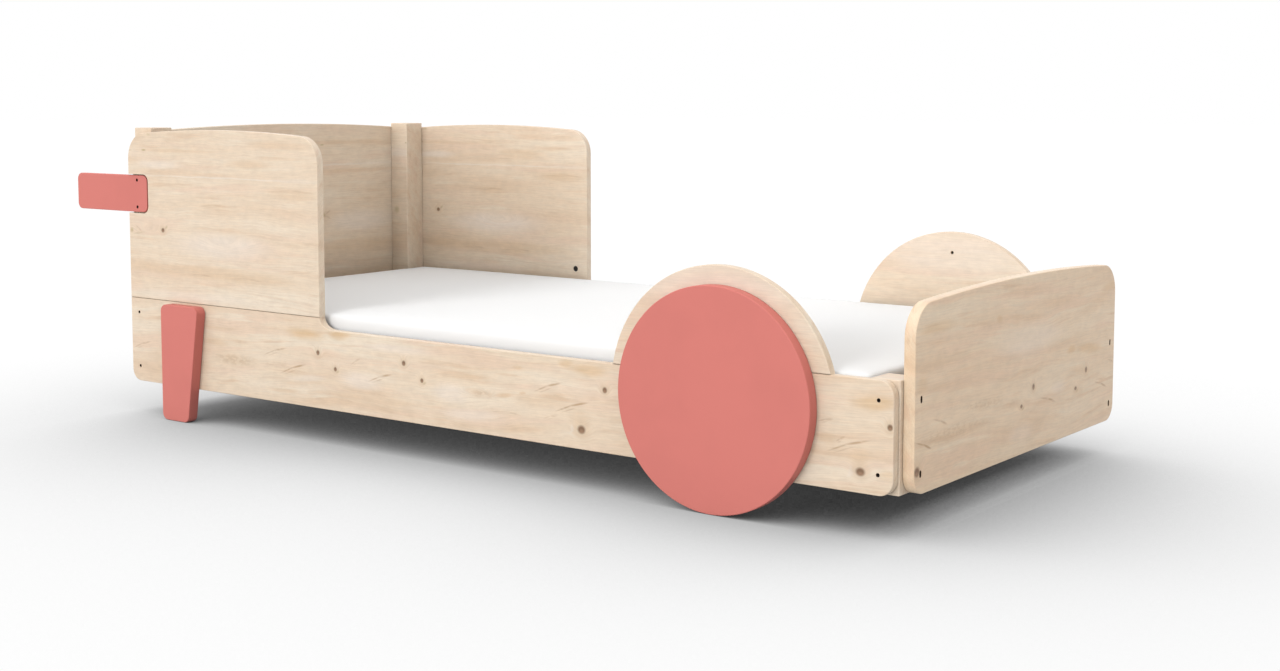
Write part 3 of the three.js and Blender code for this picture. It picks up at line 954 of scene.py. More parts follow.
# How a noise breaks up a mark: where it starts to show, where it is whole, and what is left of it at least
BREAKERS = {"streak": (0.32, 0.66, 0.60), "spots": (0.40, 0.62, 0.40), "breaks": (0.30, 0.50, 0.45)}


class Pine(Graph):
    """The node tree of pale pine, whose grain runs along one axis of the bed."""

    def __init__(self, tree, axes, seed):
        super().__init__(tree)
        along, across, depth = axes
        place = self.parts(self.coordinates())
        facing = self.parts(self.coordinates("Normal"))[depth]
        self.seed = seed
        self.grain = place[along]
        self.rise = place[across]
        self.into = self.sum("ABSOLUTE", place[depth])
        self.flat = self.add("ShaderNodeCombineXYZ", ((0, self.grain), (2, self.rise)))
        self.broad_face = self.fade(self.sum("ABSOLUTE", facing), 0.75, 0.95)

    def wood_noise(self, kind, height, output="Fac"):
        """A noise that is stretched along the grain and follows the given height of the growth lines."""
        along_scale, across_scale, own_seed, detail, roughness = PINE_NOISES[kind]
        shift = self.seed + own_seed
        place = self.add("ShaderNodeCombineXYZ", (
            (0, self.sum("MULTIPLY_ADD", self.grain, along_scale, shift)),
            (1, self.sum("MULTIPLY_ADD", self.into, across_scale, self.seed)),
            (2, self.sum("MULTIPLY_ADD", height, across_scale, shift * 0.37))))
        return self.noise(place, detail=detail, roughness=roughness, output=output)

    def tinted(self, colour, field, weight, tint):
        return self.blend(self.sum("MULTIPLY", field, weight), colour, tuple(tint))

    def line_height(self, marks, slope):
        """The growth lines' height: the board's, bent by slow waves, by knots and by figures."""
        height = self.sum("MULTIPLY_ADD", self.wood_noise("wave", self.rise), WAVE_BEND, self.rise)
        height = self.sum("MULTIPLY_ADD", self.grain, -slope, height)
        height = self.sum("MULTIPLY_ADD", self.into, INWARD_BEND, height)
        height = self.sum("MULTIPLY_ADD", self.wood_noise("ripple", self.rise), RIPPLE_BEND, height)
        for kind, (spread, lift) in MARK_BENDS.items():
            if kind in marks:
                swollen = [
                    (along, up, length * spread, tall * spread, turn, 1)
                    for along, up, length, tall, turn, _ in marks[kind]]
                bend = mark_field(self, self.flat, swollen, 0, BEND_END)
                height = self.sum("MULTIPLY_ADD", bend, lift, height)
        return height

    def growth_lines(self, marks, height):
        """Slender lines that come and go, and are all there in the figures."""
        turns = self.sum("MULTIPLY", height, 2 * math.pi / LINE_DISTANCE)
        lines = self.sum("MULTIPLY_ADD", self.sum("COSINE", turns), 0.5, 0.5)
        lines = self.sum("POWER", lines, LINE_SHARPNESS)
        strength = self.fade(self.wood_noise("presence", height), 0.42, 0.68)
        if "figures" in marks:
            figures = mark_field(self, self.flat, marks["figures"], 0.5, 1.3)
            strength = self.sum("MAXIMUM", strength, figures)
        return self.sum("MULTIPLY", lines, strength)

    def clear_wood(self, colours, height, lines, contrast):
        """The unmarked wood with its bands, streaks, growth lines and short dashes."""
        noises = {kind: self.wood_noise(kind, height) for kind in ("band", "rosy", "streak")}
        pale = self.fade(noises["band"], 0.50, 0.28, 0.0, 0.9)
        colour = self.blend(pale, tuple(colours.pine), tuple(colours.pine_pale))
        for kind, start, full, weight, tint in CLEAR_TINTS:
            colour = self.tinted(colour, self.fade(noises[kind], start, full), weight * contrast,
                                 getattr(colours, tint))
        colour = self.tinted(colour, lines, LINE_WEIGHT * contrast, colours.pine_band)
        dashes = self.fade(self.wood_noise("dash", height), 0.50, 0.66)
        return self.tinted(colour, dashes, DASH_WEIGHT, DASH_COLOUR), noises["streak"]

    def marked_wood(self, colour, marks, knot_colour, streak):
        """The wood with the marks of one board, of which the patches have ragged outlines."""
        ragged = self.wood_noise("ragged", self.rise, "Color")
        ragged = self.vector("MULTIPLY_ADD", ragged, RAGGED_REACH, self.flat).outputs[0]
        ragged = self.vector("SUBTRACT", ragged, RAGGED_REACH / 2).outputs[0]
        for kind, full, end, weight, tint, breaker in MARK_LOOKS:
            if kind in marks:
                place = ragged if kind in RAGGED_KINDS else self.flat
                field = mark_field(self, place, marks[kind], full, end)
                if breaker:
                    noise = streak if breaker == "streak" else self.wood_noise(breaker, self.rise)
                    field = self.sum("MULTIPLY", field, self.fade(noise, *BREAKERS[breaker]))
                colour = self.tinted(colour, field, weight, tint or knot_colour)
        return colour


def fill_pine(tree, context, axes, seed, marks=None, slope=0.0, contrast=1.0, shaded_holes=(), tone=(1, 1, 1)):
    """Pale pine. Its axes are the ones along the grain, across it and into the board. Its marks are lists by
    kind: figures are nested arcs of growth lines, pales, warms and ambers are patches, mottles are patches of
    short brown dashes, strokes are slender dark lines, and knots have a core, a rim and a halo."""
    marks = marks or {}
    colours = context.scene.bed_colours
    graph = Pine(tree, axes, seed)
    height = graph.line_height(marks, slope)
    lines = graph.growth_lines(marks, height)
    clear, streak = graph.clear_wood(colours, height, lines, contrast)
    marked = graph.marked_wood(clear, marks, colours.knot, streak)
    colour = graph.blend(graph.broad_face, clear, marked)
    # Painted shade on the walls of the holes of the named bolts
    if shaded_holes:
        colour = bored(graph, context, colour, graph.flat, graph.into, shaded_holes, axes)
    fibre = graph.wood_noise("fibre", height)
    cloud = graph.wood_noise("cloud", graph.rise)
    fibre_shade = graph.fade(fibre, 0.25, 0.75, 0.945, 1.035)
    shade = graph.sum("MULTIPLY", fibre_shade, graph.fade(cloud, 0.2, 0.8, 0.95, 1.04))
    colour = graph.blend(1.0, colour, graph.scaled(tone, shade), "MULTIPLY")
    roughness = graph.fade(fibre, 0.2, 0.8, 0.50, 0.62)
    relief = graph.sum("MULTIPLY_ADD", lines, -0.5, fibre)
    surface(graph, colour, roughness, relief, 0.10, 0.0003, IOR=1.45, Specular_IOR_Level=0.30,
            Coat_Weight=0.5, Coat_Roughness=0.22, Coat_IOR=1.5)


def board_marks(knots, strokes, **patches):
    """The marks of a board: knots as for knot_with_tail, strokes as for curl, other kinds as for spot."""
    rims, tails = [], []
    for knot in knots:
        rim, tail = knot_with_tail(*knot)
        rims += rim
        tails += tail
    found = {
        "knots": rims, "tails": tails,
        "cores": [(along, up - tall * 0.35, length * 0.8, tall * 0.6, 0, 1)
                  for along, up, length, tall, _, _ in rims],
        "strokes": [mark for stroke in strokes for mark in curl(*stroke)],
    }
    for kind, places in patches.items():
        found[kind] = found.get(kind, []) + [spot(*place) for place in places]
    return {kind: places for kind, places in found.items() if places}


@made_once
def rail_pine(context, tree):
    marks = board_marks(
        knots=((-289, 196, 6, 6.5, False), (-236, 165), (-34, 197, 6, 6.5, False), (17, 166),
               (489, 195, 6.2, 6.8, False), (1091, 194, 6.2, 6.6, False),
               (433, 113.5, 11, 9.5, False), (1035.5, 112, 10.5, 8.5, False)),
        strokes=((-425, 188, 35, 16, 0.7), (-368, 155, 40, 18, 1.0), (-103, 161, 33, 17, 0.9),
                 (-176, 187, 16, 30, 0.4), (350, 188, 33, 19, 0.9), (409, 156, 39, 17.5, 1.0),
                 (357, 130, 18, 14, 0.4), (967, 194, 14, 13, 0.6), (1010, 155, 41, 18.5, 0.9),
                 (996, 164, 9, 30, 0.6), (243, 125, 40, 1, 0.35), (-887, 163, 30, 17, 0.6)),
        ambers=((-329, 232, 58, 13, -2), (-223, 238, 34, 10), (449, 228, 44, 11), (395, 236, 20, 8, 0, 0.7),
                (1061, 232, 44, 13, 4), (1088, 112, 20, 10, 0, 0.5), (274, 218, 12, 4, 0, 0.5)),
        warms=((-622, 189, 42, 9), (-397, 103, 52, 4.5, 2), (143, 186, 60, 5, 4, 0.8),
               (249, 201, 32, 3, 0, 0.9), (236, 159.7, 25, 4.5, 7), (286, 168, 9, 3.5, 10),
               (333, 155, 75, 11, 0, 0.6), (970, 161, 17, 10, 0, 0.9), (428, 136, 26, 15, 0, 0.7),
               (1034, 138, 22, 14, 0, 0.7), (-57, 110, 60, 6, 3, 0.5), (-337, 126, 70, 5, 5, 0.5),
               (65, 93, 20, 14, 0, 0.4)),
        pales=((-162, 148, 62, 20), (95, 148, 48, 20, 0, 0.9), (153, 110, 90, 12, 3, 0.7),
               (-57, 223, 110, 9, 0, 0.7), (-327, 136, 60, 8, 6, 0.6), (409, 111, 5, 10, 0, 0.9),
               (1015, 110, 5, 10, 0, 0.9)),
        mottles=((-557, 155, 76, 15), (-427, 158, 60, 8, 0, 0.5), (181, 155, 36, 11, 0, 0.7),
                 (383, 168, 30, 5, -8, 0.5)),
        figures=((168, 156, 55, 11), (-557, 155, 70, 14)))
    fill_pine(tree, context, (X, Z, Y), 2.0, marks, slope=0.035, contrast=1.15, shaded_holes=near("rail_bolt"))


@made_once
def cab_pine(context, tree):
    marks = board_marks(
        knots=((-801, 435, 6.5, 6.0, False),),
        strokes=((-624, 498, 50, 2, 0.35), (-670, 339, 36, 0, 0.4), (-517, 339, 50, 0, 0.35),
                 (-364, 539, 70, 0, 0.3), (-597, 306, 300, 0, 0.18), (-890, 436, 16, -35, 0.4)),
        tails=((-789, 442, 8, 3.5, 40, 0.6), (-847, 655, 9, 4, 0, 0.4), (-915, 431, 7, 7, 0, 0.75),
               (-865, 619, 10, 2.6, 0, 1.0), (-916, 618, 8, 2, 0, 0.4), (-890, 425, 28, 3, 8, 0.3)),
        warms=((-754, 619, 150, 4.5, 0, 0.9), (-407, 637, 125, 9, -1, 0.75), (-504, 592, 75, 13, 0, 0.85),
               (-364, 533, 85, 12, -1, 0.85), (-597, 344, 330, 19, -1, 0.85), (-624, 498, 55, 5, 0, 0.6),
               (-347, 328, 80, 8, 2, 0.5), (-847, 348, 90, 14, 0, 0.4), (-397, 608, 100, 5, 0, 0.5)),
        pales=((-597, 408, 165, 30, 0, 1.0), (-812, 586, 75, 10, 0, 0.9), (-597, 561, 330, 2.2, 0, 0.9),
               (-347, 561, 80, 5, 0, 0.5), (-697, 288, 240, 10, 0, 0.4)),
        figures=((-587, 408, 140, 27), (-852, 431, 70, 18)))
    fill_pine(tree, context, (X, Z, Y), 5.0, marks)


@made_once
def guard_pine(context, tree):
    marks = {"pales": [spot(740, 400, 200, 50, 0, 0.8)]}
    fill_pine(tree, context, (X, Z, Y), 9.0, marks, contrast=1.1)


@made_once
def foot_pine(context, tree):
    marks = board_marks(
        knots=((38, 197, 6.5, 7, False), (-15, 167, 6.0, 4.5), (294, 197, 6.5, 7, False), (242, 166, 7, 4.5),
               (-432, 116, 11, 10, False)),
        strokes=((106, 164, 34, -13, 0.9), (372, 158, 34, -16, 0.8), (-348, 190, 26, -17, 0.7),
                 (-409, 158, 30, -18, 1.0), (424, 200, 14, -15, 0.5)),
        ambers=((219, 247, 22, 8, 0), (304, 240, 72, 10, -6, 0.9), (-361, 354, 78, 11, 0, 0.6),
                (-118, 343, 13, 7, 0, 0.6), (404, 352, 45, 12, 8, 0.5), (-416, 262, 20, 14, 0, 0.5)),
        warms=((-376, 250, 60, 12, 0, 0.4), (324, 322, 90, 14, 10, 0.4), (124, 350, 120, 12, 0, 0.4),
               (-176, 352, 130, 12, 0, 0.5), (264, 200, 60, 8, -8, 0.5), (254, 158, 30, 7, 0, 0.5)),
        pales=((24, 290, 150, 30, 0, 0.9), (-16, 115, 60, 18, 0, 0.5), (154, 180, 40, 12, 0, 0.7)),
        mottles=((-296, 164, 148, 15, 0, 0.8), (-173, 195, 100, 11, -4, 0.8), (-56, 180, 40, 10, 0, 0.4)))
    fill_pine(tree, context, (Y, Z, X), 13.0, marks, slope=-0.03, contrast=1.15,
              shaded_holes=nodes_named("foot_panel_bolt"), tone=(1.06, 1.0, 0.92))


@made_once
def head_pine(context, tree):
    marks = board_marks(
        knots=(), strokes=((150, 434, 16, 35, 0.5), (152, 426, 14, -20, 0.4)),
        tails=((140, 432, 7, 7, 0, 0.7), (138, 616, 9, 2.5, 0, 0.8)),
        warms=((250, 546, 170, 6, 0, 0.9), (260, 621, 150, 6, 0, 0.7), (250, 346, 190, 20, 0, 0.8)),
        pales=((280, 410, 120, 30, 0, 0.8), (250, 563, 180, 3, 0, 0.8)))
    fill_pine(tree, context, (Y, Z, X), 15.0, marks, shaded_holes=nodes_named("head_panel_bolt"))


@made_once
def post_pine(context, tree):
    marks = {
        "tails": [spot(-900, 434, 12, 12, 0, 0.6), spot(-862, 617, 6, 2.5, 0, 0.9)],
        "warms": [spot(-890, 546, 60, 6, 0, 0.7), spot(-890, 346, 60, 20, 0, 0.7)],
        "pales": [spot(-890, 590, 60, 14, 0, 0.7)],
    }
    fill_pine(tree, context, (X, Z, Y), 17.0, marks)


@made_once
def batten_pine(context, tree):
    fill_pine(tree, context, (X, Z, Y), 21.0)


@made_once
def slat_pine(context, tree):
    fill_pine(tree, context, (Y, X, Z), 25.0)


@made_once
def coral_paint(context, tree):
    """Matte paint over wood, rolled on: a fine orange-peel and faint clouds."""
    graph = Graph(tree)
    place = graph.coordinates()
    peel = graph.noise(place, 900, 2)
    cloud = graph.noise(place, 9, 3)
    coral = tuple(context.scene.bed_colours.coral)
    colour = graph.blend(graph.fade(cloud, 0.35, 0.75, 0.0, 0.6), coral, darker(coral, 0.93))
    axes = graph.parts(place)
    flat = graph.add("ShaderNodeCombineXYZ", ((X, axes[X]), (Z, axes[Z])))
    into = graph.sum("ABSOLUTE", axes[Y])
    # Painted shade on the walls of the side plates' bolt holes
    colour = bored(graph, context, colour, flat, into, near("plate_bolt"), (X, Z, Y))
    roughness = graph.fade(peel, 0.3, 0.7, 0.50, 0.60)
    surface(graph, colour, roughness, peel, 0.12, 0.0003, IOR=1.45, Specular_IOR_Level=0.35)


@made_once
def dark_steel(context, tree):
    """Dark satin steel with a faint grit."""
    graph = Graph(tree)
    grit = graph.noise(graph.coordinates(), 2500, 3)
    steel = tuple(context.scene.bed_colours.steel)
    worn = tuple(channel * 1.5 for channel in steel)
    colour = graph.blend(graph.fade(grit, 0.3, 0.7), steel, worn)
    surface(graph, colour, graph.fade(grit, 0.3, 0.7, 0.38, 0.52), grit, 0.1, 0.0001, Metallic=0.8)


THREAD_DISTANCE = 0.0011


@made_once
def white_cloth(context, tree):
    """Plain white woven cover with a fine thread pattern."""
    graph = Graph(tree)
    place = graph.coordinates()
    axes = graph.parts(place)
    turns = 2 * math.pi / THREAD_DISTANCE
    threads = [
        graph.sum("SINE", graph.sum("MULTIPLY", graph.sum("ADD", axes[axis], axes[Z]), turns))
        for axis in (X, Y)]
    weave = graph.sum("MULTIPLY", *threads)
    slub = graph.noise(place, 260, 2)
    height = graph.sum("MULTIPLY_ADD", slub, 0.6, weave)
    cloth = tuple(context.scene.bed_colours.cloth)
    colour = graph.blend(graph.fade(weave, -1, 1, 0, 0.5), cloth, darker(cloth, 0.97))
    surface(graph, colour, graph.fade(slub, 0.3, 0.7, 0.86, 0.94), height, 0.15, 0.0003,
            Sheen_Weight=0.8, Sheen_Roughness=0.5, Specular_IOR_Level=0.2)


# Pieces that repeat are made by geometry nodes
class Recipe(Graph):
    """A geometry node tree with named inputs. It ends in plain faces of one material."""

    def __init__(self, name, **inputs):
        tree = bpy.data.node_groups.new(name, "GeometryNodeTree")
        tree.interface.new_socket("Geometry", in_out="OUTPUT", socket_type="NodeSocketGeometry")
        for label, kind in {"Geometry": "Geometry", **inputs, "Material": "Material"}.items():
            tree.interface.new_socket(
                label.replace("_", " "), in_out="INPUT", socket_type=f"NodeSocket{kind}")
        super().__init__(tree)
        self.input = self.node("NodeGroupInput").outputs

    def end(self, geometry):
        plain = self.add("GeometryNodeRealizeInstances", (("Geometry", geometry),))
        painted = self.add("GeometryNodeSetMaterial", (
            ("Geometry", plain), ("Material", self.input["Material"])))
        self.node("NodeGroupOutput", ((0, painted),))
        return self.tree


def grown(piece, tree, values):
    """Runs a recipe on a piece with the given values and leaves a plain mesh."""
    modifier = piece.modifiers.new(tree.name, "NODES")
    modifier.node_group = tree
    for item in tree.interface.items_tree:
        if item.in_out == "INPUT" and item.name in values:
            modifier[item.identifier] = values[item.name]
    return evaluated(piece)


def slat_recipe():
    recipe = Recipe("Slats", Count="Int", First="Vector", Step="Vector",
                    Width="Float", Thickness="Float", Length="Float", Rounding="Float")
    given = recipe.input
    section = recipe.add("GeometryNodeCurvePrimitiveQuadrilateral", (
        ("Width", given["Width"]), ("Height", given["Thickness"])))
    section = recipe.add("GeometryNodeFilletCurve", (
        ("Curve", section), ("Count", 5), ("Radius", given["Rounding"])), mode="POLY")
    end = recipe.add("ShaderNodeCombineXYZ", ((2, given["Length"]),))
    line = recipe.add("GeometryNodeCurvePrimitiveLine", (("End", end),))
    slat = recipe.add("GeometryNodeCurveToMesh", (
        ("Curve", line), ("Profile Curve", section), ("Fill Caps", True)))
    rest = recipe.add("GeometryNodeMeshLine", (
        ("Count", given["Count"]), ("Start Location", given["First"]), ("Offset", given["Step"])))
    rows = recipe.add("GeometryNodeInstanceOnPoints", (
        ("Points", rest), ("Instance", slat), ("Rotation", (-math.pi / 2, 0, 0))))
    return recipe.end(rows)


class BED_OT_slats(bpy.types.Operator):
    """Builds the slats across the bed"""

    bl_idname = "bed.slats"
    bl_label = "Slats"

    def execute(self, context):
        names = [name for name in nodes_named("slat_") if "ledger" not in name]
        low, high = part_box(names[0])
        following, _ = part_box(names[1])
        size = high - low
        slats = to_object("slats", bmesh.new())
        finish = slat_pine(context)
        grown(slats, slat_recipe(), {
            "Count": len(names),
            "First": ((low.x + high.x) / 2, low.y, (low.z + high.z) / 2),
            "Step": (following.x - low.x, 0.0, 0.0),
            "Width": size.x, "Thickness": size.z, "Length": size.y,
            "Rounding": context.scene.bed_boards.slat_round,
            "Material": finish,
        })
        smooth(slats)
        settle(slats, finish, names)
        return {"FINISHED"}


def bolt_recipe():
    recipe = Recipe("Bolts", Head_Radius="Float", Head_Length="Float", Shank_Radius="Float",
                    Socket_Radius="Float", Socket_Depth="Float", Sides="Int")
    given = recipe.input
    half = recipe.sum("MULTIPLY", given["Head Length"], 0.5)
    head = recipe.add("GeometryNodeMeshCylinder", (
        ("Vertices", given["Sides"]), ("Radius", given["Head Radius"]), ("Depth", given["Head Length"])))
    head = recipe.add("GeometryNodeTransform", (
        ("Geometry", head), ("Translation", recipe.add("ShaderNodeCombineXYZ", ((2, half),)))))
    socket = recipe.add("GeometryNodeMeshCylinder", (
        ("Vertices", 6), ("Radius", given["Socket Radius"]),
        ("Depth", recipe.sum("MULTIPLY", given["Socket Depth"], 2.0))))
    cut = recipe.node(
        "GeometryNodeMeshBoolean", (("Mesh 1", head),), operation="DIFFERENCE", solver="MANIFOLD")
    recipe.tree.links.new(socket, cut.inputs["Mesh 2"])
    shank = recipe.add("GeometryNodeMeshCylinder", (
        ("Vertices", given["Sides"]), ("Radius", given["Shank Radius"]), ("Depth", 1.0)))
    shank = recipe.add("GeometryNodeTransform", (("Geometry", shank), ("Translation", (0, 0, 0.5))))
    heading = recipe.add("GeometryNodeInputNamedAttribute", (("Name", "heading"),), data_type="FLOAT_VECTOR")
    length = recipe.add("GeometryNodeInputNamedAttribute", (("Name", "length"),), data_type="FLOAT")
    turn = recipe.add("FunctionNodeAlignRotationToVector", (("Vector", heading),), axis="Z")
    heads = recipe.add("GeometryNodeInstanceOnPoints", (
        ("Points", given["Geometry"]), ("Instance", cut.outputs[0]), ("Rotation", turn)))
    reach = recipe.sum("SUBTRACT", length, given["Head Length"])
    lowered = recipe.add("GeometryNodeSetPosition", (
        ("Geometry", given["Geometry"]), ("Offset", recipe.scaled(heading, given["Head Length"]))))
    shanks = recipe.add("GeometryNodeInstanceOnPoints", (
        ("Points", lowered), ("Instance", shank), ("Rotation", turn),
        ("Scale", recipe.add("ShaderNodeCombineXYZ", ((0, 1.0), (1, 1.0), (2, reach))))))
    join = recipe.node("GeometryNodeJoinGeometry")
    recipe.tree.links.new(heads, join.inputs[0])
    recipe.tree.links.new(shanks, join.inputs[0])
    return recipe.end(join.outputs[0])


class BED_OT_bolts(bpy.types.Operator):
    """Builds all the bolts and screws that are sunk in the boards"""

    bl_idname = "bed.bolts"
    bl_label = "Bolts"

    def execute(self, context):
        sizes = context.scene.bed_fasteners
        names = nodes_named(BOLT_KINDS)
        facts = [bolt_facts(name) for name in names]
        mesh = bpy.data.meshes.new("bolts")
        mesh.from_pydata([tuple(start) for start, _, _ in facts], [], [])
        mesh.attributes.new("heading", "FLOAT_VECTOR", "POINT")
        mesh.attributes.new("length", "FLOAT", "POINT")
        for index, (_, way, long) in enumerate(facts):
            mesh.attributes["heading"].data[index].vector = way
            mesh.attributes["length"].data[index].value = long
        bolts = bpy.data.objects.new("bolts", mesh)
        context.scene.collection.objects.link(bolts)
        finish = dark_steel(context)
        grown(bolts, bolt_recipe(), {
            "Head Radius": sizes.head_radius, "Head Length": sizes.head_length,
            "Shank Radius": sizes.shank_radius, "Socket Radius": sizes.socket_width / math.sqrt(3),
            "Socket Depth": sizes.head_length * 0.6, "Sides": PIN_SIDES, "Material": finish,
        })
        smooth(bolts)
        settle(bolts, finish, names)
        return {"FINISHED"}


def cam_disc(sizes):
    """The near cam fitting: a bevelled disc with a cross slot in the face that shows."""
    low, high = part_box("cab_cam_near")
    middle = (low + high) / 2
    deep = high.y - low.y
    rim = sizes.cam_rim
    radius = sizes.cam_radius
    profile = [(radius - rim, 0), (radius, rim), (radius, deep - rim), (radius - rim, deep)]
    shape = turned(profile, CAM_SIDES, (middle.x, high.y, middle.z), TO_NEAR_SIDE)
    disc = to_object("cab_cam_near_disc", shape)
    half_width, half_length, slot_depth = 0.0009, 0.0042, 0.0030
    slots = []
    for wide, tall in ((half_width, half_length), (half_length, half_width)):
        slot_low = (middle.x - wide, high.y - slot_depth, middle.z - tall)
        slots.append(block(slot_low, (middle.x + wide, high.y + OVERCUT, middle.z + tall)))
    return smooth(carve(disc, slots))


def cam_pin():
    """The near pin that the cam pulls down, with a neck under its head."""
    low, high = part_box("cab_cam_bolt_near")
    middle = (low + high) / 2
    radius = (high.x - low.x) / 2
    tall = high.z - low.z
    neck = radius * 0.6
    bevel = 0.001
    groove_start = tall - 0.007
    groove_end = tall - 0.003
    profile = [
        (neck, 0), (radius, radius - neck), (radius, groove_start - bevel), (neck, groove_start),
        (neck, groove_end), (radius, groove_end + bevel), (radius, tall - 0.0006), (radius * 0.8, tall)]
    pin = turned(profile, PIN_SIDES, (middle.x, middle.y, low.z), UPWARDS)
    return smooth(to_object("cab_cam_bolt_near_pin", pin))


class BED_OT_cams(bpy.types.Operator):
    """Builds the cam fittings in the cab panels and the pins that they pull on"""

    bl_idname = "bed.cams"
    bl_label = "Cam Fittings"

    def execute(self, context):
        settle_pair(cam_disc(context.scene.bed_fasteners), dark_steel(context), "cab_cam_near")
        settle_pair(cam_pin(), dark_steel(context), "cab_cam_bolt_near")
        return {"FINISHED"}


# The mattress's edge lines, how far its sides stay straight, and the cover's short simulation
EDGE_ANGLES = (0, 35, 60)
CORNER_POWER = 9
CLOTH_STEPS = 20
LOOSE_ABOVE = 1 / 1.6
LEAST = 1e-6


def grid_lines(size, radius, cell):
    """Lines across a side of the mattress, closer together where its edge is rounded."""
    cells = max(2, round((size - 2 * radius) / cell))
    inner = [radius + index * (size - 2 * radius) / cells for index in range(cells + 1)]
    edge = [radius * (1 - math.cos(math.radians(angle))) for angle in EDGE_ANGLES]
    return [place - size / 2 for place in edge + inner + [size - place for place in reversed(edge)]]


def mattress_shape(sizes, low, high):
    """A closed box with rounded edges, a crowned top and sides that pull in between its corners."""
    middle = (low + high) / 2
    size = high - low
    half = size / 2
    radius = sizes.edge_radius
    lines = [grid_lines(size[axis], radius, sizes.cell) for axis in range(3)]
    shape = bmesh.new()
    made = {}

    def vertex(key):
        if key not in made:
            point = Vector(lines[axis][key[axis]] for axis in range(3))
            inner = Vector(
                max(radius - half[axis], min(half[axis] - radius, point[axis])) for axis in range(3))
            out = point - inner
            if out.length:
                point = inner + out.normalized() * radius
            share = Vector(point[axis] / half[axis] for axis in range(3))
            along_x = 1 - share.x ** 2
            along_y = 1 - share.y ** 2
            on_top = max(0.0, share.z)
            swell = min(1.0, sizes.crown_spread * along_x) * math.sqrt(min(1.0, sizes.crown_spread * along_y))
            point.z -= sizes.crown * on_top * (1 - swell)
            point.x -= sizes.draw_in * share.x ** CORNER_POWER * along_y
            point.y -= sizes.draw_in * share.y ** CORNER_POWER * along_x
            made[key] = shape.verts.new(middle + point)
        return made[key]

    for axis in range(3):
        first, second = (other for other in range(3) if other != axis)
        for end in (0, len(lines[axis]) - 1):
            for i in range(len(lines[first]) - 1):
                for j in range(len(lines[second]) - 1):
                    keys = []
                    for step_i, step_j in ((0, 0), (1, 0), (1, 1), (0, 1)):
                        key = [0, 0, 0]
                        key[axis] = end
                        key[first] = i + step_i
                        key[second] = j + step_j
                        keys.append(tuple(key))
                    shape.faces.new([vertex(key) for key in keys])
    bmesh.ops.recalc_face_normals(shape, faces=shape.faces)
    return shape


def puffed(piece, sizes, low, high):
    """Lets the filling press on the cover for a moment, and keeps a small share of what it does."""
    count = len(piece.data.vertices)
    rest = np.zeros(count * 3)
    piece.data.vertices.foreach_get("co", rest)
    rest = rest.reshape(-1, 3)
    cloth = piece.modifiers.new("Cover", "CLOTH")
    cloth.settings.quality = 4
    cloth.settings.mass = 0.3
    cloth.settings.tension_stiffness = 12
    cloth.settings.compression_stiffness = 12
    cloth.settings.bending_stiffness = 0.6
    cloth.settings.use_pressure = True
    cloth.settings.uniform_pressure_force = sizes.pressure
    cloth.settings.effector_weights.gravity = 0
    scene = bpy.context.scene
    for step in range(CLOTH_STEPS):
        scene.frame_set(step + 1)
    ready = piece.evaluated_get(bpy.context.evaluated_depsgraph_get())
    moved = np.zeros(count * 3)
    ready.data.vertices.foreach_get("co", moved)
    moved = moved.reshape(-1, 3) - rest
    piece.modifiers.clear()
    scene.frame_set(1)
    length = np.linalg.norm(moved, axis=1)
    height = (rest[:, Z] - low.z) / (high.z - low.z)
    most = sizes.puff * np.clip(height / LOOSE_ABOVE, 0, 1)
    kept = most * np.tanh(length / np.maximum(most, LEAST))
    moved *= (kept / np.maximum(length, LEAST / 1000))[:, None]
    place = rest + moved
    place[:, X] = np.clip(place[:, X], low.x, high.x)
    place[:, Y] = np.clip(place[:, Y], low.y, high.y)
    place[:, Z] = np.minimum(place[:, Z], high.z)
    piece.data.vertices.foreach_set("co", place.ravel())
    piece.data.update()


class BED_OT_mattress(bpy.types.Operator):
    """Builds the loose mattress"""

    bl_idname = "bed.mattress"
    bl_label = "Mattress"

    def execute(self, context):
        sizes = context.scene.bed_mattress
        low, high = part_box("mattress")
        slim = Vector((sizes.room, sizes.room, 0))
        lowered = Vector((0, 0, sizes.room))
        mattress = to_object("mattress_cover", mattress_shape(sizes, low + slim, high - slim - lowered))
        puffed(mattress, sizes, low, high)
        subdivision = mattress.modifiers.new("Subdivision", "SUBSURF")
        subdivision.levels = 1
        subdivision.render_levels = 1
        evaluated(mattress)
        mattress.data.shade_smooth()
        settle(mattress, white_cloth(context), ["mattress"], body="mattress")
        return {"FINISHED"}


def seen_directly(graph):
    """One for rays from the camera, from gloss and through glass, and zero for rays that light the bed."""
    rays = graph.node("ShaderNodeLightPath")
    shown = graph.sum("MAXIMUM", rays.outputs["Is Camera Ray"], rays.outputs["Is Glossy Ray"])
    return graph.sum("MAXIMUM", shown, rays.outputs["Is Transmission Ray"])


FLOOR_HALF_WIDTH = 40
FLOOR_DROP = 0.0005
SHADOW_SAMPLES = 16
SENSOR_WIDTH = 36
FAR_CLIP = 200


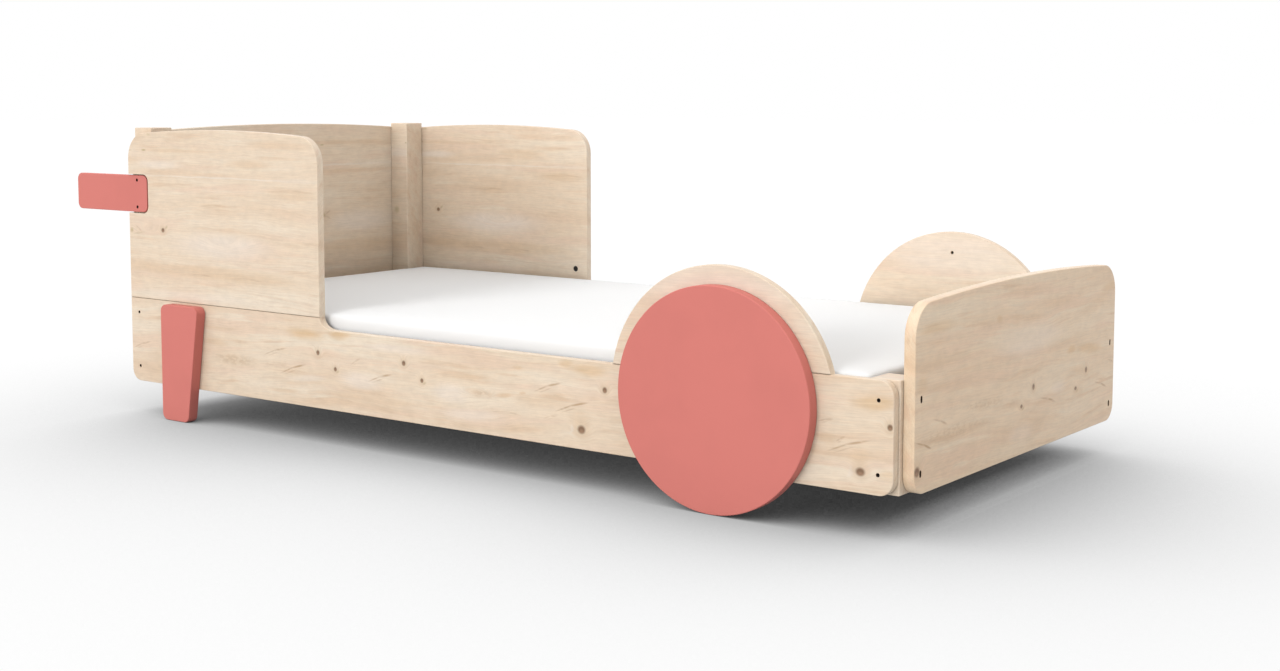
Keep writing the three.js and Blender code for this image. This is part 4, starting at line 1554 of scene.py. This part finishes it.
def build_floor(stage):
    """A white floor. The camera sees it dimmed by the share of the sky that the bed hides from it."""
    shape = bmesh.new()
    bmesh.ops.create_grid(shape, x_segments=1, y_segments=1, size=FLOOR_HALF_WIDTH)
    floor = to_object("floor", shape)
    floor.location.z = -FLOOR_DROP
    material = new_material("floor")
    graph = Graph(material.node_tree)
    up = Vector(stage.shadow_way).normalized()
    whole = tuple(channel * 2 / (1 + up.z) for channel in stage.floor)
    tilted = graph.add("ShaderNodeCombineXYZ", enumerate(up))
    open_sky = graph.node("ShaderNodeAmbientOcclusion", (
        ("Color", (*whole, 1)), ("Distance", stage.shadow_reach), ("Normal", tilted)), samples=SHADOW_SAMPLES)
    pale = graph.node("ShaderNodeEmission", (("Color", open_sky.outputs["Color"]),))
    plain = graph.node("ShaderNodeBsdfDiffuse", (("Color", (*stage.floor_bounce, 1)),))
    both = graph.node("ShaderNodeMixShader", (
        (0, seen_directly(graph)), (1, plain.outputs[0]), (2, pale.outputs[0])))
    graph.node("ShaderNodeOutputMaterial", (("Surface", both.outputs[0]),))
    floor.data.materials.append(material)


def build_sky(scene, stage):
    """Even light from all round, weaker from the foot end, and plain white where it is seen."""
    world = bpy.data.worlds.new("studio")
    scene.world = world
    world.use_nodes = True
    world.node_tree.nodes.clear()
    graph = Graph(world.node_tree)
    way = graph.parts(graph.coordinates("Generated"))[X]
    sky = graph.fade(way, 0.0, 1.0, stage.sky, stage.sky * (1 - stage.foot_dimming))
    strength = graph.add("ShaderNodeMapRange", (
        ("Value", seen_directly(graph)), ("To Min", sky), ("To Max", 1.0)))
    light = graph.node("ShaderNodeBackground", (("Color", (1, 1, 1, 1)), ("Strength", strength)))
    graph.node("ShaderNodeOutputWorld", (("Surface", light.outputs[0]),))


def build_lamps(scene, stage):
    for name, strength, way in (("key", stage.key, stage.key_way), ("top", stage.top, UPWARDS)):
        light = bpy.data.lights.new(name, "SUN")
        light.energy = strength
        light.angle = stage.spread
        lamp = bpy.data.objects.new(name, light)
        lamp.rotation_euler = Vector(way).to_track_quat("Z", "Y").to_euler()
        scene.collection.objects.link(lamp)


def build_camera(scene, stage):
    lens = bpy.data.cameras.new("camera")
    lens.lens = stage.lens
    lens.sensor_width = SENSOR_WIDTH
    lens.shift_y = stage.shift_up
    lens.clip_end = FAR_CLIP
    camera = bpy.data.objects.new("camera", lens)
    camera.location = stage.camera_place
    camera.rotation_euler = Euler(stage.camera_turn)
    scene.collection.objects.link(camera)
    scene.camera = camera


class BED_OT_stage(bpy.types.Operator):
    """Builds the floor, the light and the camera"""

    bl_idname = "bed.stage"
    bl_label = "Stage"

    def execute(self, context):
        scene = context.scene
        stage = scene.bed_stage
        scene.view_settings.view_transform = "Standard"
        scene.cycles.diffuse_bounces = stage.bounces
        build_floor(stage)
        build_sky(scene, stage)
        build_lamps(scene, stage)
        build_camera(scene, stage)
        return {"FINISHED"}


OPERATORS = (
    BED_OT_stage, BED_OT_side_rails, BED_OT_cab_panels, BED_OT_wheel_guards, BED_OT_end_panels,
    BED_OT_corner_posts, BED_OT_wheels, BED_OT_legs, BED_OT_side_plates, BED_OT_ledgers, BED_OT_slats,
    BED_OT_bolts, BED_OT_cams, BED_OT_mattress,
)


class BED_PT_panel(bpy.types.Panel):
    """Lists the steps that build the bed"""

    bl_idname = "BED_PT_panel"
    bl_label = "Kids Bed"
    bl_space_type = "VIEW_3D"
    bl_region_type = "UI"
    bl_category = "Kids Bed"

    def draw(self, context):
        for operator in OPERATORS:
            self.layout.operator(operator.bl_idname)


GROUPS = {
    "bed_boards": BoardSizes,
    "bed_fasteners": FastenerSizes,
    "bed_colours": BedColours,
    "bed_mattress": MattressSizes,
    "bed_stage": StageSettings,
}


def register():
    for group in GROUPS.values():
        bpy.utils.register_class(group)
    for operator in OPERATORS:
        bpy.utils.register_class(operator)
    bpy.utils.register_class(BED_PT_panel)
    for name, group in GROUPS.items():
        setattr(bpy.types.Scene, name, bpy.props.PointerProperty(type=group))


def unregister():
    for name in GROUPS:
        delattr(bpy.types.Scene, name)
    bpy.utils.unregister_class(BED_PT_panel)
    for operator in reversed(OPERATORS):
        bpy.utils.unregister_class(operator)
    for group in reversed(GROUPS.values()):
        bpy.utils.unregister_class(group)


def main():
    register()
    for operator in OPERATORS:
        family, name = operator.bl_idname.split(".")
        getattr(getattr(bpy.ops, family), name)()


if __name__ == "__main__":
    main()
